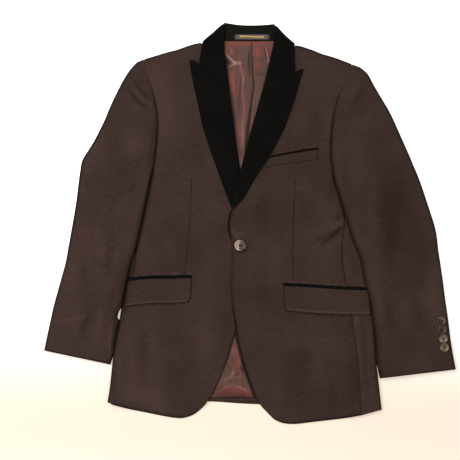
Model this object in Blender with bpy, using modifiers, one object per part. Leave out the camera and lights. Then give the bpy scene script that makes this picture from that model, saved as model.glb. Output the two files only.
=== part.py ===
# Man's peak-lapel smoking jacket laid flat on its back: front up, buttoned, sleeves at its sides.
# X runs across the jacket, with the wearer's left side at +X. Y runs from the hem up to the collar.
# Z is up, and Z = 0 is the surface that the jacket lies on. "left" and "right" are the wearer's.
# The outline tables hold millimetres, one row for each station from the neck down.
# Every panel is an open middle surface with a Solidify modifier that gives the cloth its thickness.

import bpy
import bmesh
import numpy as np

MM = 0.001

# Cloth thicknesses, mm
CLOTH = 1.5
FRONT_CLOTH = 1.8
LINING = 1.0

# Heights of the middle surfaces over the table where nothing lifts them, mm
BACK_MID = 0.75
LINING_MID = 2.35
FRONT_MID = 5.6
LAPEL_MID = 7.75
POCKET_MID = 7.6
SLEEVE_GAP = 5.1          # between the middle surfaces of a sleeve's two layers
SEAM_GAP = 0.4            # between two pieces sewn edge to edge
TOUCH_GAP = 0.3           # between a piece and what it lies on
BEND_STEPS = 4            # faces round each fold
TURN_ANGLES = (35, 65, 90)   # degrees, rows of points round a turned edge

# The back and the fronts rise over the collar's fall at the neck, mm
NECK_LIFT = 2.0
NECK_HALF_WIDTH = 95.0    # the lift is whole as far out as this
NECK_EASE_ACROSS = 28.0   # and fades over this much more
NECK_LIFT_FOOT = 308.0    # y where the lift starts
NECK_EASE_DOWN = 22.0

# The left front rises where it crosses the right lapel and the right front, mm
OVER_LAPEL = 4.3
OVER_FRONT = 2.2
OVERLAP_EDGE = 8.0        # x where the lift starts to fade
OVERLAP_EASE = 32.0
OVERLAP_ROWS = [  # y, side that a piece's reach moves the row to, lift
    (142, 1, 0), (108, 1, OVER_LAPEL), (-6, -1, OVER_LAPEL), (-28, -1, OVER_FRONT),
    (-212, 0, OVER_FRONT), (-262, 0, 0),
]

# How much farther than the back and fronts the lift reaches on each layer above them, mm
PANEL_REACH = 6.0
LINING_REACH = 14.0
LAPEL_REACH = 24.0
LAPEL_OVERLAP_REACH = 22.0

# Turned edges of the lapels and the collar, mm
ROLL_RADIUS = 2.2
ROLL_FOOT = 0.5           # straight part below the turn
COLLAR_TURN = 2.6
COLLAR_FOOT = 1.6

# Rows near the top of a front that bend down to the shoulder seam
SHOULDER_ROWS = {0: 1.0, 0.04: 0.45, 0.13: 0.15}   # row: share of the drop
SHOULDER_FROM = 110.0     # distance from the middle where the bend starts, mm
SHOULDER_EASE = 18.0
SHOULDER_CLEARANCE = 0.6

# Front of the jacket: the outer edge runs down the armhole and the side seam,
# the inner edge down the roll line and the front edge.
RIGHT_FRONT = [  # outer x, outer y, inner x, inner y
    (-203.5, 314.5, -63.5, 360), (-196.5, 287.5, -54.5, 326.5), (-188, 262.5, -49, 299.5),
    (-180.5, 230.5, -45.5, 268.5), (-177, 196.5, -42, 235.5), (-178, 161.5, -38, 201),
    (-183, 117.5, -34, 168), (-190.5, 86, -30.5, 137), (-216, 69.5, -26, 106.5),
    (-242.5, 60, -20.5, 73.5), (-237.5, 25.5, -13, 39), (-229.5, -13.5, -7.5, 2),
    (-222.5, -52, -3.5, -32.5), (-224, -81, -3.5, -75), (-229.5, -113.5, -6, -117.5),
    (-237, -142.5, -12.5, -158), (-241.5, -166.5, -21, -189), (-247, -198, -29, -212),
    (-251.5, -229.5, -37, -239), (-255, -259.5, -45.5, -266), (-259, -291, -56, -292),
    (-262.5, -322, -70.5, -324), (-264.5, -351, -85, -348),
]
RIGHT_FRONT_TOP = [
    (-203.5, 314.5), (-187, 320), (-170, 325.5), (-154.5, 330), (-140.5, 333.5),
    (-121.5, 340.5), (-100.5, 347), (-85, 347), (-63.5, 360),
]
RIGHT_FRONT_HEM = [
    (-264.5, -351), (-235.5, -357.5), (-202.5, -364), (-173.5, -370), (-147, -374.5),
    (-129.5, -375), (-110, -369), (-95, -358), (-85, -348),
]
LEFT_FRONT = [  # inner x, inner y, outer x, outer y
    (62, 356.5, 196, 304.5), (48, 324.5, 189, 283.5), (38.5, 291.5, 180.5, 267.5),
    (30.5, 260.5, 169, 243), (22, 232, 160.5, 211), (13.5, 201, 155, 167),
    (5, 170, 154.5, 129.5), (-3, 139, 159, 93), (-10.5, 108.5, 166, 74.5),
    (-17.5, 79.5, 175.5, 62), (-24.5, 52.5, 183.5, 50.5), (-31, 32, 184.5, 31),
    (-37.5, 21, 183.5, 12), (-41.5, 2, 183, -10.5), (-41.5, -16, 180, -30.5),
    (-36.5, -34, 179, -52), (-34.5, -52, 179.5, -73), (-36, -86.5, 182.5, -96.5),
    (-36.5, -122.5, 186.5, -117.5), (-35, -158, 192.5, -148.5), (-29.5, -193, 198, -180.5),
    (-24, -229.5, 202.5, -214), (-16, -260.5, 206.5, -243), (-7, -291, 210.5, -270),
    (1, -311.5, 212.5, -303), (9, -332.5, 214, -335.5), (21, -352, 215.5, -371),
]
LEFT_FRONT_TOP = [
    (62, 356.5), (80, 341.5), (94.5, 341.8), (108, 338), (121.5, 333.5),
    (139, 326.5), (158.5, 320), (180.5, 311.5), (196, 304.5),
]
LEFT_FRONT_HEM = [
    (21, -352), (34.5, -366), (49, -379), (66.5, -385.5), (89, -386.5),
    (119.5, -383), (150.5, -379.5), (182, -376), (215.5, -371),
]

# Lapels: the edge runs from the peak down to the button, the roll line is the fold at the opening.
RIGHT_LAPEL = [  # edge x, edge y, roll x, roll y
    (-116.5, 313.5, -48.5, 328.5), (-114.5, 297.5, -45.5, 307), (-110, 272.5, -42.5, 280),
    (-104, 245.5, -38, 243), (-98, 217.5, -34, 208.5), (-92, 189, -30, 175),
    (-83, 160.5, -24.5, 137), (-73.5, 132, -19, 98), (-63.5, 104.5, -14.5, 73.5),
    (-54, 78, -10.5, 52.5), (-45.5, 55, -7.5, 31), (-36.5, 33, -6, 13.5),
    (-27, 13.5, -5, 2), (-19.5, 0, -4, -5.5),
]
RIGHT_GORGE = [
    (-116.5, 313.5), (-108, 313), (-97.5, 307), (-85, 310), (-72.5, 315.5),
    (-60, 322.5), (-48.5, 328.5),
]
LEFT_LAPEL = [  # edge x, edge y, roll x, roll y
    (103, 297, 42.5, 335), (100, 286.5, 36, 305), (94.5, 268.5, 29.5, 278),
    (89.5, 251, 21.5, 248), (84, 233.5, 13.5, 218.5), (78.5, 216, 5.5, 190.5),
    (70.5, 195.5, -2.5, 161.5), (62, 175, -10.5, 130), (43, 140, -18.5, 98),
    (24.5, 110, -23, 81.5), (5.5, 80.5, -27.5, 64), (-11, 51, -31.5, 46.5),
    (-20.5, 40, -34.5, 36), (-27, 32, -35, 28.5),
]
LEFT_GORGE = [
    (103, 297), (94.5, 295.5), (86.5, 291), (76, 299.5), (65.5, 311), (54, 323.5), (42.5, 335),
]

# Collar over each shoulder: from its end down to the gorge, and from the fold at the neck.
RIGHT_COLLAR = [  # end x, end y, neck fold x, neck fold y
    (-90.5, 351, -50.3, 384), (-92, 345, -50.3, 375), (-94.5, 331, -50.1, 358),
    (-97, 317, -49.6, 342), (-98, 308.8, -49.4, 330.3),
]
RIGHT_COLLAR_TOP = [(-90.5, 351), (-81.5, 358.5), (-72, 366), (-61, 375.5), (-50.3, 384)]
RIGHT_COLLAR_GORGE = [(-98, 308.8), (-85.5, 311), (-73.5, 316.5), (-61, 323.5), (-49.4, 330.3)]
LEFT_COLLAR = [  # end x, end y, neck fold x, neck fold y
    (85.5, 347, 48, 382), (85.5, 338, 48, 372), (85.8, 322, 47.5, 358),
    (86.2, 305, 45.5, 345), (86.7, 292.3, 43.2, 336.4),
]
LEFT_COLLAR_TOP = [(85.5, 347), (74.7, 356.3), (65.8, 364.3), (57.5, 372.5), (48, 382)]
LEFT_COLLAR_GORGE = [(86.7, 292.3), (76.2, 301), (65.8, 312.5), (54.3, 325), (43.2, 336.4)]
COLLAR_ROWS = [  # row of the collar's table, share of its height that the row drops by
    (0, 1.0), (0.08, 0.5), (0.25, 0.12), (0.6, 0), (1, 0), (2, 0), (3, 0), (4, 0),
]

# Back collar, from the neck seam up the stand, over the fold and down the fall beneath the back.
BACK_COLLAR = [  # y of the section, left end x, right end x
    (351.5, -48.2, 45.6), (362, -48.2, 45.8), (372, -48.4, 46.2), (384.1, -48.6, 46.6),
]
BACK_COLLAR_FALL = [
    (384.1, -45, 42.5), (374, -55.5, 51.5), (362, -71, 67), (350, -84, 78), (338, -88, 80),
]
BACK_COLLAR_BEND = 1.6    # radius of the fold at the top of the stand
BACK_COLLAR_DIP = 4.0     # how far the fold sags between its two ends
BACK_COLLAR_DIP_FROM = 345.0   # y where the sag starts
BACK_COLLAR_COLUMNS = 7

# Sleeves: inner fold beside the body and outer fold, from the crown down to the cuff.
RIGHT_SLEEVE = [  # inner x, inner y, outer x, outer y
    (-205, 312.5, -216, 312), (-197.7, 287.5, -233, 294.5), (-189.2, 262.5, -248, 270),
    (-181.7, 230.5, -267.5, 230.5), (-178.2, 196.5, -282, 196.5), (-179.2, 161.5, -299.5, 161.5),
    (-181.8, 139, -312, 141), (-184.2, 117.5, -324, 121), (-188.3, 99.5, -328, 100.5),
    (-192, 83, -330.5, 83), (-201, 39, -336, 39), (-211, -10.5, -344.5, -11.5),
    (-220.5, -50, -351.5, -50), (-228.5, -75, -356, -75), (-236.5, -105, -364, -105),
    (-245.5, -142.5, -374.5, -142.5), (-250.5, -162, -380, -163), (-255, -187, -385.5, -189),
    (-260.5, -222.5, -393, -223.5), (-269.5, -273, -397.5, -246),
]
LEFT_SLEEVE = [  # inner x, inner y, outer x, outer y
    (197.5, 304, 212.5, 301.5), (190, 283.5, 227.5, 287.5), (181.7, 267.5, 238.5, 267.5),
    (170.2, 243, 253, 242.5), (161.7, 211, 271.5, 211), (156.2, 167, 291.5, 167),
    (155.7, 129.5, 309, 127.5), (158, 110, 316.5, 109), (160.3, 93, 323.5, 93),
    (167, 68.5, 333, 67.5), (178.5, 31.5, 345, 31), (188, -3, 356, -3),
    (194.5, -27, 361, -27), (204.5, -50, 363.5, -50), (213.5, -75.5, 367.5, -76),
    (219.5, -110, 372.5, -110), (230.5, -149, 377.5, -149.5), (234.5, -180.5, 382, -180.5),
    (241.5, -228.5, 388, -228.5), (246, -265.5, 393, -258.5), (254, -299.5, 397.5, -282.5),
]
SLEEVE_SEAM = 0.21        # share of a sleeve's width from each fold to the seam beneath
SLEEVE_CROWN = 0.45       # share of the folds' radius left at the crown
UPPER_SLEEVE_COLUMNS = 8
UNDER_SLEEVE_COLUMNS = 5

# How high the body lifts a sleeve that lies over it.
RIGHT_SLEEVE_LIFT = [  # y, lift
    (125, 0), (92, 7.1), (-55, 7.1), (-80, 9), (-166, 9), (-235, 0),
]
LEFT_SLEEVE_LIFT = [
    (125, 0), (88, 7.1), (-65, 7.1), (-92, 9), (-180, 9), (-215, 7.1), (-262, 7.1), (-300, 3),
]
SLEEVE_LIFT_FROM = 16.0   # distance from the body's side where the sleeve starts to come down
SLEEVE_LIFT_TO = 42.0     # and where it reaches the table

# Side panels: from the front seam, round the side fold, to the back seam beneath.
RIGHT_SIDE = [  # front seam x, front seam y, fold x, fold y, back seam y
    (-244, 60, -255, 63, 64), (-238, 25.5, -247.5, 23.5, 25.5), (-230.2, -13.5, -240, -15, -13.5),
    (-223, -52, -233.5, -52, -52), (-224.5, -81, -234.5, -81, -81),
    (-230, -113.5, -239.5, -113.5, -113.5), (-237.5, -142.5, -244.5, -142.5, -142.5),
    (-242, -166.5, -249, -166.5, -166), (-247.5, -198, -254, -198, -196.5),
    (-252, -229.5, -259, -229.5, -229.5), (-255.5, -259.5, -264.5, -259.5, -258.5),
    (-259.5, -291, -268, -291, -291), (-263, -322, -271.5, -322, -322),
    (-265, -350.5, -275.5, -345.5, -344.5),
]
LEFT_SIDE = [
    (184.5, 49.5, 251, 52.5, 52.5), (185, 31, 246.5, 31, 31), (184, 12, 240.5, 12, 12),
    (183.5, -10.5, 233, -10.5, -10.5), (180.5, -30.5, 226.5, -30.5, -30.5),
    (179.5, -52, 222, -52, -52), (180, -73, 224, -73, -73), (183, -96.5, 227.5, -96.5, -96.5),
    (187, -117.5, 230.5, -117.5, -117.5), (193, -148.5, 234.5, -148.5, -148.5),
    (198.5, -180.5, 238, -180.5, -180.5), (203, -214, 241, -214, -214),
    (207, -243, 243, -243, -243), (211, -270, 244.5, -270, -270), (213, -303, 248, -303, -303),
    (214.5, -335.5, 251.5, -335.5, -332), (216, -369.5, 254.5, -358, -355),
]

# Back: armhole and side seam on the outside, centre-back seam on the inside.
RIGHT_BACK = [  # outer x, outer y, centre x, centre y
    (-203.5, 314.5, 0, 350.5), (-196.5, 287.5, 0, 315), (-188, 262.5, 0, 272.5),
    (-180.5, 230.5, 0, 232), (-177, 196.5, 0, 197), (-178, 161.5, 0, 162.5),
    (-183, 117.5, 0, 118), (-189, 87, 0, 87), (-173, 64, 0, 62), (-161.5, -13.5, 0, -13.5),
    (-158, -52, 0, -52), (-167.5, -113.5, 0, -113.5), (-175, -166, 0, -166),
    (-180, -229.5, 0, -229.5), (-185, -291, 0, -291), (-188.5, -343.5, 0, -349.5),
]
RIGHT_BACK_TOP = [
    (-203.5, 314.5), (-173.5, 324), (-140.5, 333.5), (-100.5, 347), (-85, 347),
    (-63.5, 360), (-46.5, 350.5), (0, 350.5),
]
RIGHT_BACK_HEM = [
    (-188.5, -343.5), (-162, -343.5), (-135, -343.5), (-108, -344), (-82.5, -344.5),
    (-52, -346), (-27, -348), (0, -349.5),
]
LEFT_BACK = [  # centre x, centre y, outer x, outer y
    (0.5, 350.5, 196, 304.5), (0.5, 315, 189, 283.5), (0.5, 272.5, 180.5, 267.5),
    (0.5, 243.5, 169, 243), (0.5, 212.5, 160.5, 211), (0.5, 168, 155, 167),
    (0.5, 129.5, 154.5, 129.5), (0.5, 93, 159, 93), (0.5, 67.5, 170, 71.5),
    (0.5, 52.5, 196.3, 52.5), (0.5, -9.5, 181, -10.5), (0.5, -52, 173, -52),
    (0.5, -117.5, 175, -117.5), (0.5, -179.5, 180, -180.5), (0.5, -243, 184, -243),
    (0.5, -303, 187.5, -303), (0.5, -349.5, 190.5, -355),
]
LEFT_BACK_TOP = [
    (0.5, 350.5), (43.5, 350.5), (62, 356.5), (80, 343.5), (94.5, 342.5),
    (121.5, 333.5), (158.5, 320), (196, 304.5),
]
LEFT_BACK_HEM = [
    (0.5, -349.5), (27, -350.5), (54, -351.5), (81, -352), (108, -353),
    (135, -353.5), (162, -354.5), (190.5, -355),
]

# Back lining where the openings show it, from the neck seam to the turned-up hem.
LINING_STRIP = [  # right edge x, left edge x, y, height of its folds
    (-60, 56, 349.5, 0), (-61, 53, 331, 0.4), (-60, 50, 310, 0.8), (-58, 39.5, 276, 1.1),
    (-52, 29, 237.5, 1.1), (-46.5, 19.5, 199, 1.0), (-40.5, 11.5, 160.5, 0.8),
    (-38.5, 4, 125.5, 0.6), (-40.5, 4, 91, 0.3), (-46.5, 7.5, 15.5, 0.2),
    (-50, 7.5, -71, 0.2), (-54, 4, -167.5, 0.3), (-63.5, 6, -216, 0.5),
    (-81, 11.5, -254.5, 0.8), (-98.5, 25, -297, 0.9), (-112, 40.5, -337, 0.3),
]
LINING_COLUMNS = 10
LINING_UNEVEN = 0.3       # share by which one fold differs from the next
HEM_TURNUP = [(-112, 40.5, -337.5), (-112, 40.5, -344.0)]

# Pockets: each flap hangs from a jetting of velvet, the breast welt stands under its own.
RIGHT_JETTING = [(-235, -104.5), (-193.5, -100.5), (-154.5, -100), (-112.5, -99)]
RIGHT_FLAP = [  # outer x, outer y, inner x, inner y
    (-235.5, -111.9, -113.5, -106.4), (-238, -129, -114, -121.5),
    (-239.5, -146.5, -114.5, -136), (-241, -160.5, -117, -147.5),
]
RIGHT_FLAP_TOP = [
    (-235.5, -111.9), (-214, -109.4), (-193.5, -107.9), (-154.5, -107.4), (-134, -107), (-113.5, -106.4),
]
RIGHT_FLAP_EDGE = [
    (-241, -160.5), (-196, -155), (-162, -154), (-127, -153), (-121, -151), (-117, -147.5),
]
LEFT_JETTING = [(64.5, -114.5), (116, -117), (164, -120.5), (227, -123)]
LEFT_FLAP = [  # inner x, inner y, outer x, outer y
    (66, -121.5, 227.5, -129.9), (66, -137, 230, -142.5),
    (66.5, -150.5, 231.5, -158), (70, -165, 233, -176.5),
]
LEFT_FLAP_TOP = [
    (66, -121.5), (98.5, -123.2), (116, -124), (164, -127.5), (196, -129), (227.5, -129.9),
]
LEFT_FLAP_EDGE = [
    (70, -165), (74, -168), (80.5, -169.5), (131, -174.5), (188, -176.5), (233, -176.5),
]
JETTING_DEPTH = 6.4
WELT = [  # x, top y, bottom y
    (40.5, 125.4, 107.5), (62, 130, 111.5), (88, 134.9, 116), (108, 138.4, 119.5), (131, 141.9, 123),
]
WELT_JETTING = [(40.5, 130.6), (62, 135.2), (88, 140.1), (108, 143.6), (131, 147.1)]
WELT_JETTING_DEPTH = 4.6

# Label on the inside of the back collar, and the buttons
LABEL_CENTRE = (4, 359.3)
LABEL_SIZE = (68, 9.5, 0.7)
FRONT_BUTTON = (-19, -43)
FRONT_BUTTON_DIAMETER = 21.5
CUFF_BUTTONS = [(370, -188.5), (371, -205.6), (373, -222.8), (375.2, -239.8)]
CUFF_BUTTON_DIAMETER = 16.4
BUTTON_PROFILE = [  # share of the radius, height mm, from the outer side's top round to its foot
    (0.0, 2.6), (0.52, 2.6), (0.74, 3.8), (0.92, 3.7), (1.0, 2.2), (0.75, 0.4), (0.0, 0.0),
]
BUTTON_SIDES = 20

COLOURS = {  # base colour, roughness
    "suiting": ((0.050, 0.029, 0.023), 0.85),
    "velvet": ((0.006, 0.005, 0.004), 0.95),
    "lining": ((0.150, 0.052, 0.040), 0.45),
    "label": ((0.090, 0.070, 0.065), 0.70),
    "button": ((0.230, 0.190, 0.160), 0.35),
}


def ease(value):
    """Smooth step from 0 to 1."""
    t = np.clip(value, 0.0, 1.0)
    return t * t * (3 - 2 * t)


def follow(table, y):
    """Value of a table of (y, value) rows at y, eased between the rows."""
    rows = sorted(table)
    if y <= rows[0][0]:
        return rows[0][1]
    for (y0, a), (y1, b) in zip(rows, rows[1:]):
        if y <= y1:
            return a + (b - a) * ease((y - y0) / (y1 - y0))
    return rows[-1][1]


def along(points, positions):
    """Points of a polyline at fractional indices."""
    points = np.array(points, float)
    index = np.arange(len(points))
    return np.stack([np.interp(positions, index, points[:, k]) for k in range(2)], axis=1)


def patch(first, second, top, bottom, rows=None, columns=None):
    """Grid of (x, y) filling four sides: the first and second edges run down, top and bottom across."""
    rows = np.arange(len(first)) if rows is None else np.array(rows, float)
    columns = np.arange(len(top)) if columns is None else np.array(columns, float)
    v = (rows / (len(first) - 1))[:, None, None]
    u = (columns / (len(top) - 1))[None, :, None]
    first, second = along(first, rows)[:, None], along(second, rows)[:, None]
    top, bottom = along(top, columns)[None], along(bottom, columns)[None]
    corners = (1 - u) * (1 - v) * top[:, :1] + u * (1 - v) * top[:, -1:]
    corners = corners + (1 - u) * v * bottom[:, :1] + u * v * bottom[:, -1:]
    return (1 - u) * first + u * second + (1 - v) * top + v * bottom - corners


def split(table):
    """First and second edges of a table of (x, y, x, y) rows."""
    return [row[:2] for row in table], [row[2:4] for row in table]


def sheet(name, points, thickness, colour):
    """Solid from a grid of middle points in mm, given its thickness by Solidify."""
    points = np.array(points, float)
    rows, columns = points.shape[0], points.shape[1]
    mesh = bpy.data.meshes.new(name)
    bm = bmesh.new()
    bmesh.ops.create_grid(bm, x_segments=columns - 1, y_segments=rows - 1, size=1.0)
    for vertex in bm.verts:
        column = round((vertex.co.x + 1) / 2 * (columns - 1))
        row = round((vertex.co.y + 1) / 2 * (rows - 1))
        vertex.co = points[row, column] * MM
    bm.to_mesh(mesh)
    bm.free()
    obj = add_object(name, mesh, colour)
    solidify = obj.modifiers.new("cloth", "SOLIDIFY")
    solidify.thickness = thickness * MM
    solidify.offset = 0.0
    return obj


def add_object(name, mesh, colour):
    """Object in the jacket's collection with its material."""
    obj = bpy.data.objects.new(name, mesh)
    jacket.objects.link(obj)
    mesh.materials.append(materials[colour])
    return obj


def with_height(grid, height):
    """Grid of (x, y, z) with the height function's z at each point."""
    z = np.array([[height(x, y) for x, y in row] for row in grid])
    return np.concatenate([grid, z[:, :, None]], axis=2)


def neck_lift(x, y, reach=0.0):
    """Lift over the collar's fall, which lies beneath the back at the neck."""
    across = 1 - ease((abs(x) - NECK_HALF_WIDTH - reach) / NECK_EASE_ACROSS)
    return NECK_LIFT * across * ease((y - NECK_LIFT_FOOT + reach) / NECK_EASE_DOWN)


def overlap_lift(x, y, reach=0.0):
    """Lift of the left front where it crosses the right lapel and then the right front."""
    across = 1 - ease((x - OVERLAP_EDGE - reach) / OVERLAP_EASE)
    return across * follow([(row_y + way * reach, lift) for row_y, way, lift in OVERLAP_ROWS], y)


def shoulder_drop(row, x):
    """How far a front's top rows bend down to the shoulder seam; under the collar it stays up."""
    height = FRONT_MID - BACK_MID - CLOTH - SHOULDER_CLEARANCE
    return height * SHOULDER_ROWS.get(row, 0.0) * ease((abs(x) - SHOULDER_FROM) / SHOULDER_EASE)


def bend_down(grid, radius, extra):
    """Adds columns past the last one that turn the cloth down over its edge."""
    tangent = np.gradient(grid[:, -1, :2], axis=0)
    outward = np.stack([tangent[:, 1], -tangent[:, 0]], axis=1)
    outward /= np.linalg.norm(outward, axis=1)[:, None]
    side = np.sign(np.sum(outward * (grid[:, -1, :2] - grid[:, -2, :2]), axis=1))
    outward *= side[:, None]
    columns = [grid]
    for angle in np.radians(TURN_ANGLES):
        column = grid[:, -1].copy()
        column[:, :2] += outward * radius * np.sin(angle)
        column[:, 2] -= radius * (1 - np.cos(angle))
        columns.append(column[:, None])
    foot = columns[-1].copy()
    foot[:, :, 2] -= extra
    return np.concatenate(columns + [foot], axis=1)


def inset(table, distance):
    """Roll line moved in from the fold by a distance, toward the lapel's edge."""
    edge, roll = (np.array(side, float) for side in split(table))
    way = edge - roll
    way /= np.maximum(np.linalg.norm(way, axis=1), 1e-6)[:, None]
    return edge, roll + way * distance


def folded_section(start, end, radius, lift):
    """C-shaped section from a seam beneath, round both folds; start and end are its outer points."""
    start, end = np.array(start, float), np.array(end, float)
    width = np.linalg.norm(end - start)
    way = (end - start) / width
    half = CLOTH / 2
    points = [(SLEEVE_SEAM * width, 0.0)]
    angles = np.linspace(0, np.pi, BEND_STEPS + 1)
    centre = radius + half
    points += [(centre - radius * np.sin(a), radius * (1 - np.cos(a))) for a in angles]
    flat = np.linspace(centre, width - centre, UPPER_SLEEVE_COLUMNS + 1)[1:-1]
    points += [(d, 2 * radius) for d in flat]
    points += [(width - centre + radius * np.sin(a), radius * (1 + np.cos(a))) for a in angles]
    points.append(((1 - SLEEVE_SEAM) * width, 0.0))
    section = []
    for distance, rise in points:
        x, y = start + way * distance
        section.append((x, y, BACK_MID + rise + lift(x, y)))
    return section


def body_side(table):
    """Rows of (y, x) of a side fold."""
    return sorted((row[3], row[2]) for row in table)


def sleeve_lift(table, side_table):
    """Function giving the height of a sleeve's lower layer over the table."""
    side = body_side(side_table)
    ys, xs = [row[0] for row in side], [row[1] for row in side]

    def lift(x, y):
        outside = abs(x) - abs(np.interp(y, ys, xs))
        near = 1 - ease((outside - SLEEVE_LIFT_FROM) / (SLEEVE_LIFT_TO - SLEEVE_LIFT_FROM))
        return follow(table, y) * near
    return lift


def make_sleeve(side, table, lift_table, side_table):
    """Upper sleeve wrapped round both folds, and the under sleeve between its two seams."""
    lift = sleeve_lift(lift_table, side_table)
    inner, outer = split(table)
    rows = []
    for row, (a, b) in enumerate(zip(inner, outer)):
        radius = SLEEVE_GAP / 2 * (SLEEVE_CROWN if row == 0 else 1.0)
        rows.append(folded_section(a, b, radius, lift))
    sheet("upper_sleeve_" + side, rows, CLOTH, "suiting")
    rows = []
    for a, b in list(zip(inner, outer))[1:]:
        a, b = np.array(a, float), np.array(b, float)
        gap = (CLOTH / 2 + SEAM_GAP) / np.linalg.norm(b - a)
        shares = np.linspace(SLEEVE_SEAM + gap, 1 - SLEEVE_SEAM - gap, UNDER_SLEEVE_COLUMNS + 1)
        rows.append([(*(a + (b - a) * s), BACK_MID + lift(*(a + (b - a) * s))) for s in shares])
    sheet("under_sleeve_" + side, rows, CLOTH, "suiting")


def make_side_panel(side, table, back_edge):
    """Side panel from the front seam, round the side fold and under to the edge of the back."""
    radius = (FRONT_MID - BACK_MID) / 2
    back_edge = sorted((y, x) for x, y in back_edge)
    rows = []
    for seam_x, seam_y, fold_x, fold_y, back_y in table:
        sign = np.sign(fold_x - seam_x)
        back_x = np.interp(back_y, [point[0] for point in back_edge], [point[1] for point in back_edge])
        centre = fold_x - sign * (radius + CLOTH / 2)
        seam_x += sign * SEAM_GAP
        back_x += sign * SEAM_GAP
        flat = (seam_x + centre) / 2
        row = [(seam_x, seam_y, FRONT_MID), (flat, (seam_y + fold_y) / 2, FRONT_MID)]
        for angle in np.linspace(0, np.pi, BEND_STEPS + 1):
            reach = centre + sign * radius * np.sin(angle)
            row.append((reach, fold_y, BACK_MID + radius * (1 + np.cos(angle))))
        for share in (0.5, 1.0):
            row.append((centre + (back_x - centre) * share, fold_y + (back_y - fold_y) * share, BACK_MID))
        rows.append(row)
    sheet("side_panel_" + side, rows, CLOTH, "suiting")


def strip(name, line, depth, mid, thickness, colour):
    """Narrow band hanging from a line by its depth."""
    line = np.array(line, float)
    lower = line - np.array([0.0, depth])
    grid = np.stack([line, (line + lower) / 2, lower])
    return sheet(name, with_height(grid, lambda x, y: mid), thickness, colour)


def make_button(name, centre, diameter, height):
    """Turned button with a raised rim and a dished face."""
    bm = bmesh.new()
    radius = diameter / 2
    profile = [bm.verts.new((share * radius * MM, 0, z * MM)) for share, z in BUTTON_PROFILE]
    for a, b in zip(profile, profile[1:]):
        bm.edges.new((a, b))
    mesh = bpy.data.meshes.new(name)
    bm.to_mesh(mesh)
    bm.free()
    obj = add_object(name, mesh, "button")
    obj.location = (centre[0] * MM, centre[1] * MM, height * MM)
    screw = obj.modifiers.new("turned", "SCREW")
    screw.steps = screw.render_steps = BUTTON_SIDES
    screw.use_merge_vertices = True
    screw.merge_threshold = 0.00001
    screw.use_smooth_shade = True
    return obj


for old in list(bpy.data.objects):
    bpy.data.objects.remove(old, do_unlink=True)

jacket = bpy.data.collections.new("smoking_jacket")
bpy.context.scene.collection.children.link(jacket)

materials = {}
for key, (colour, roughness) in COLOURS.items():
    material = bpy.data.materials.new(key)
    material.use_nodes = True
    shader = material.node_tree.nodes["Principled BSDF"]
    shader.inputs["Base Color"].default_value = (*colour, 1.0)
    shader.inputs["Roughness"].default_value = roughness
    shader.inputs["Metallic"].default_value = 0.0
    materials[key] = material

# Back, lying flat on the table; at the neck it rises over the collar's fall, with one more row there
for side, table, top, hem in (
    ("right", RIGHT_BACK, RIGHT_BACK_TOP, RIGHT_BACK_HEM),
    ("left", LEFT_BACK, LEFT_BACK_TOP, LEFT_BACK_HEM),
):
    back_rows = [0, 0.55] + list(range(1, len(table)))
    grid = patch(*split(table), top, hem, rows=back_rows)
    surface = with_height(grid, lambda x, y: BACK_MID + neck_lift(x, y, PANEL_REACH))
    sheet("back_" + side, surface, CLOTH, "suiting")

# Lining of the back, with soft upright folds, and the hem turned up below it
lining = []
for right_x, left_x, y, fold in LINING_STRIP:
    shares = np.linspace(0, 1, LINING_COLUMNS + 1)
    row = []
    for index, share in enumerate(shares):
        uneven = 1 - LINING_UNEVEN + LINING_UNEVEN * np.sin(index * 1.7)
        wave = fold * (index % 2) * uneven * min(1.0, 5 * share * (1 - share))
        x = right_x + (left_x - right_x) * share
        row.append((x, y, LINING_MID + neck_lift(x, y, LINING_REACH) + wave))
    lining.append(row)
sheet("back_lining", lining, LINING, "lining")
turnup = [[(a + (b - a) * s, y, LINING_MID) for s in np.linspace(0, 1, 7)] for a, b, y in HEM_TURNUP]
sheet("back_hem_turnup", turnup, LINING, "suiting")

make_side_panel("right", RIGHT_SIDE, split(RIGHT_BACK)[0])
make_side_panel("left", LEFT_SIDE, split(LEFT_BACK)[1])

# Fronts, the left one lapping over the right, with more rows at the shoulder seam
for side, table, top, hem, laps in (
    ("right", RIGHT_FRONT, RIGHT_FRONT_TOP, RIGHT_FRONT_HEM, 0),
    ("left", LEFT_FRONT, LEFT_FRONT_TOP, LEFT_FRONT_HEM, 1),
):
    front_rows = list(SHOULDER_ROWS) + [0.4] + list(range(1, len(table)))
    grid = patch(*split(table), top, hem, rows=front_rows)
    front = with_height(grid, lambda x, y: FRONT_MID + neck_lift(x, y, PANEL_REACH)
                        + laps * overlap_lift(x, y))
    for row, position in zip(front, front_rows):
        for point in row:
            point[2] -= shoulder_drop(position, point[0])
    sheet("front_" + side, front, FRONT_CLOTH, "suiting")

# Lapels, folded over the fronts along the roll lines
for side, table, gorge, laps in (
    ("right", RIGHT_LAPEL, RIGHT_GORGE, 0), ("left", LEFT_LAPEL, LEFT_GORGE, 1),
):
    edge, fold = inset(table, ROLL_RADIUS + FRONT_CLOTH / 2)
    top = [tuple(point) for point in gorge[:-1]] + [tuple(fold[0])]
    bottom = np.linspace(edge[-1], fold[-1], len(gorge))
    grid = patch(edge, fold, top, bottom)
    surface = with_height(grid, lambda x, y: LAPEL_MID + neck_lift(x, y, LAPEL_REACH)
                          + laps * overlap_lift(x, y, LAPEL_OVERLAP_REACH))
    sheet("lapel_" + side, bend_down(surface, ROLL_RADIUS, ROLL_FOOT), FRONT_CLOTH, "velvet")

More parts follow.
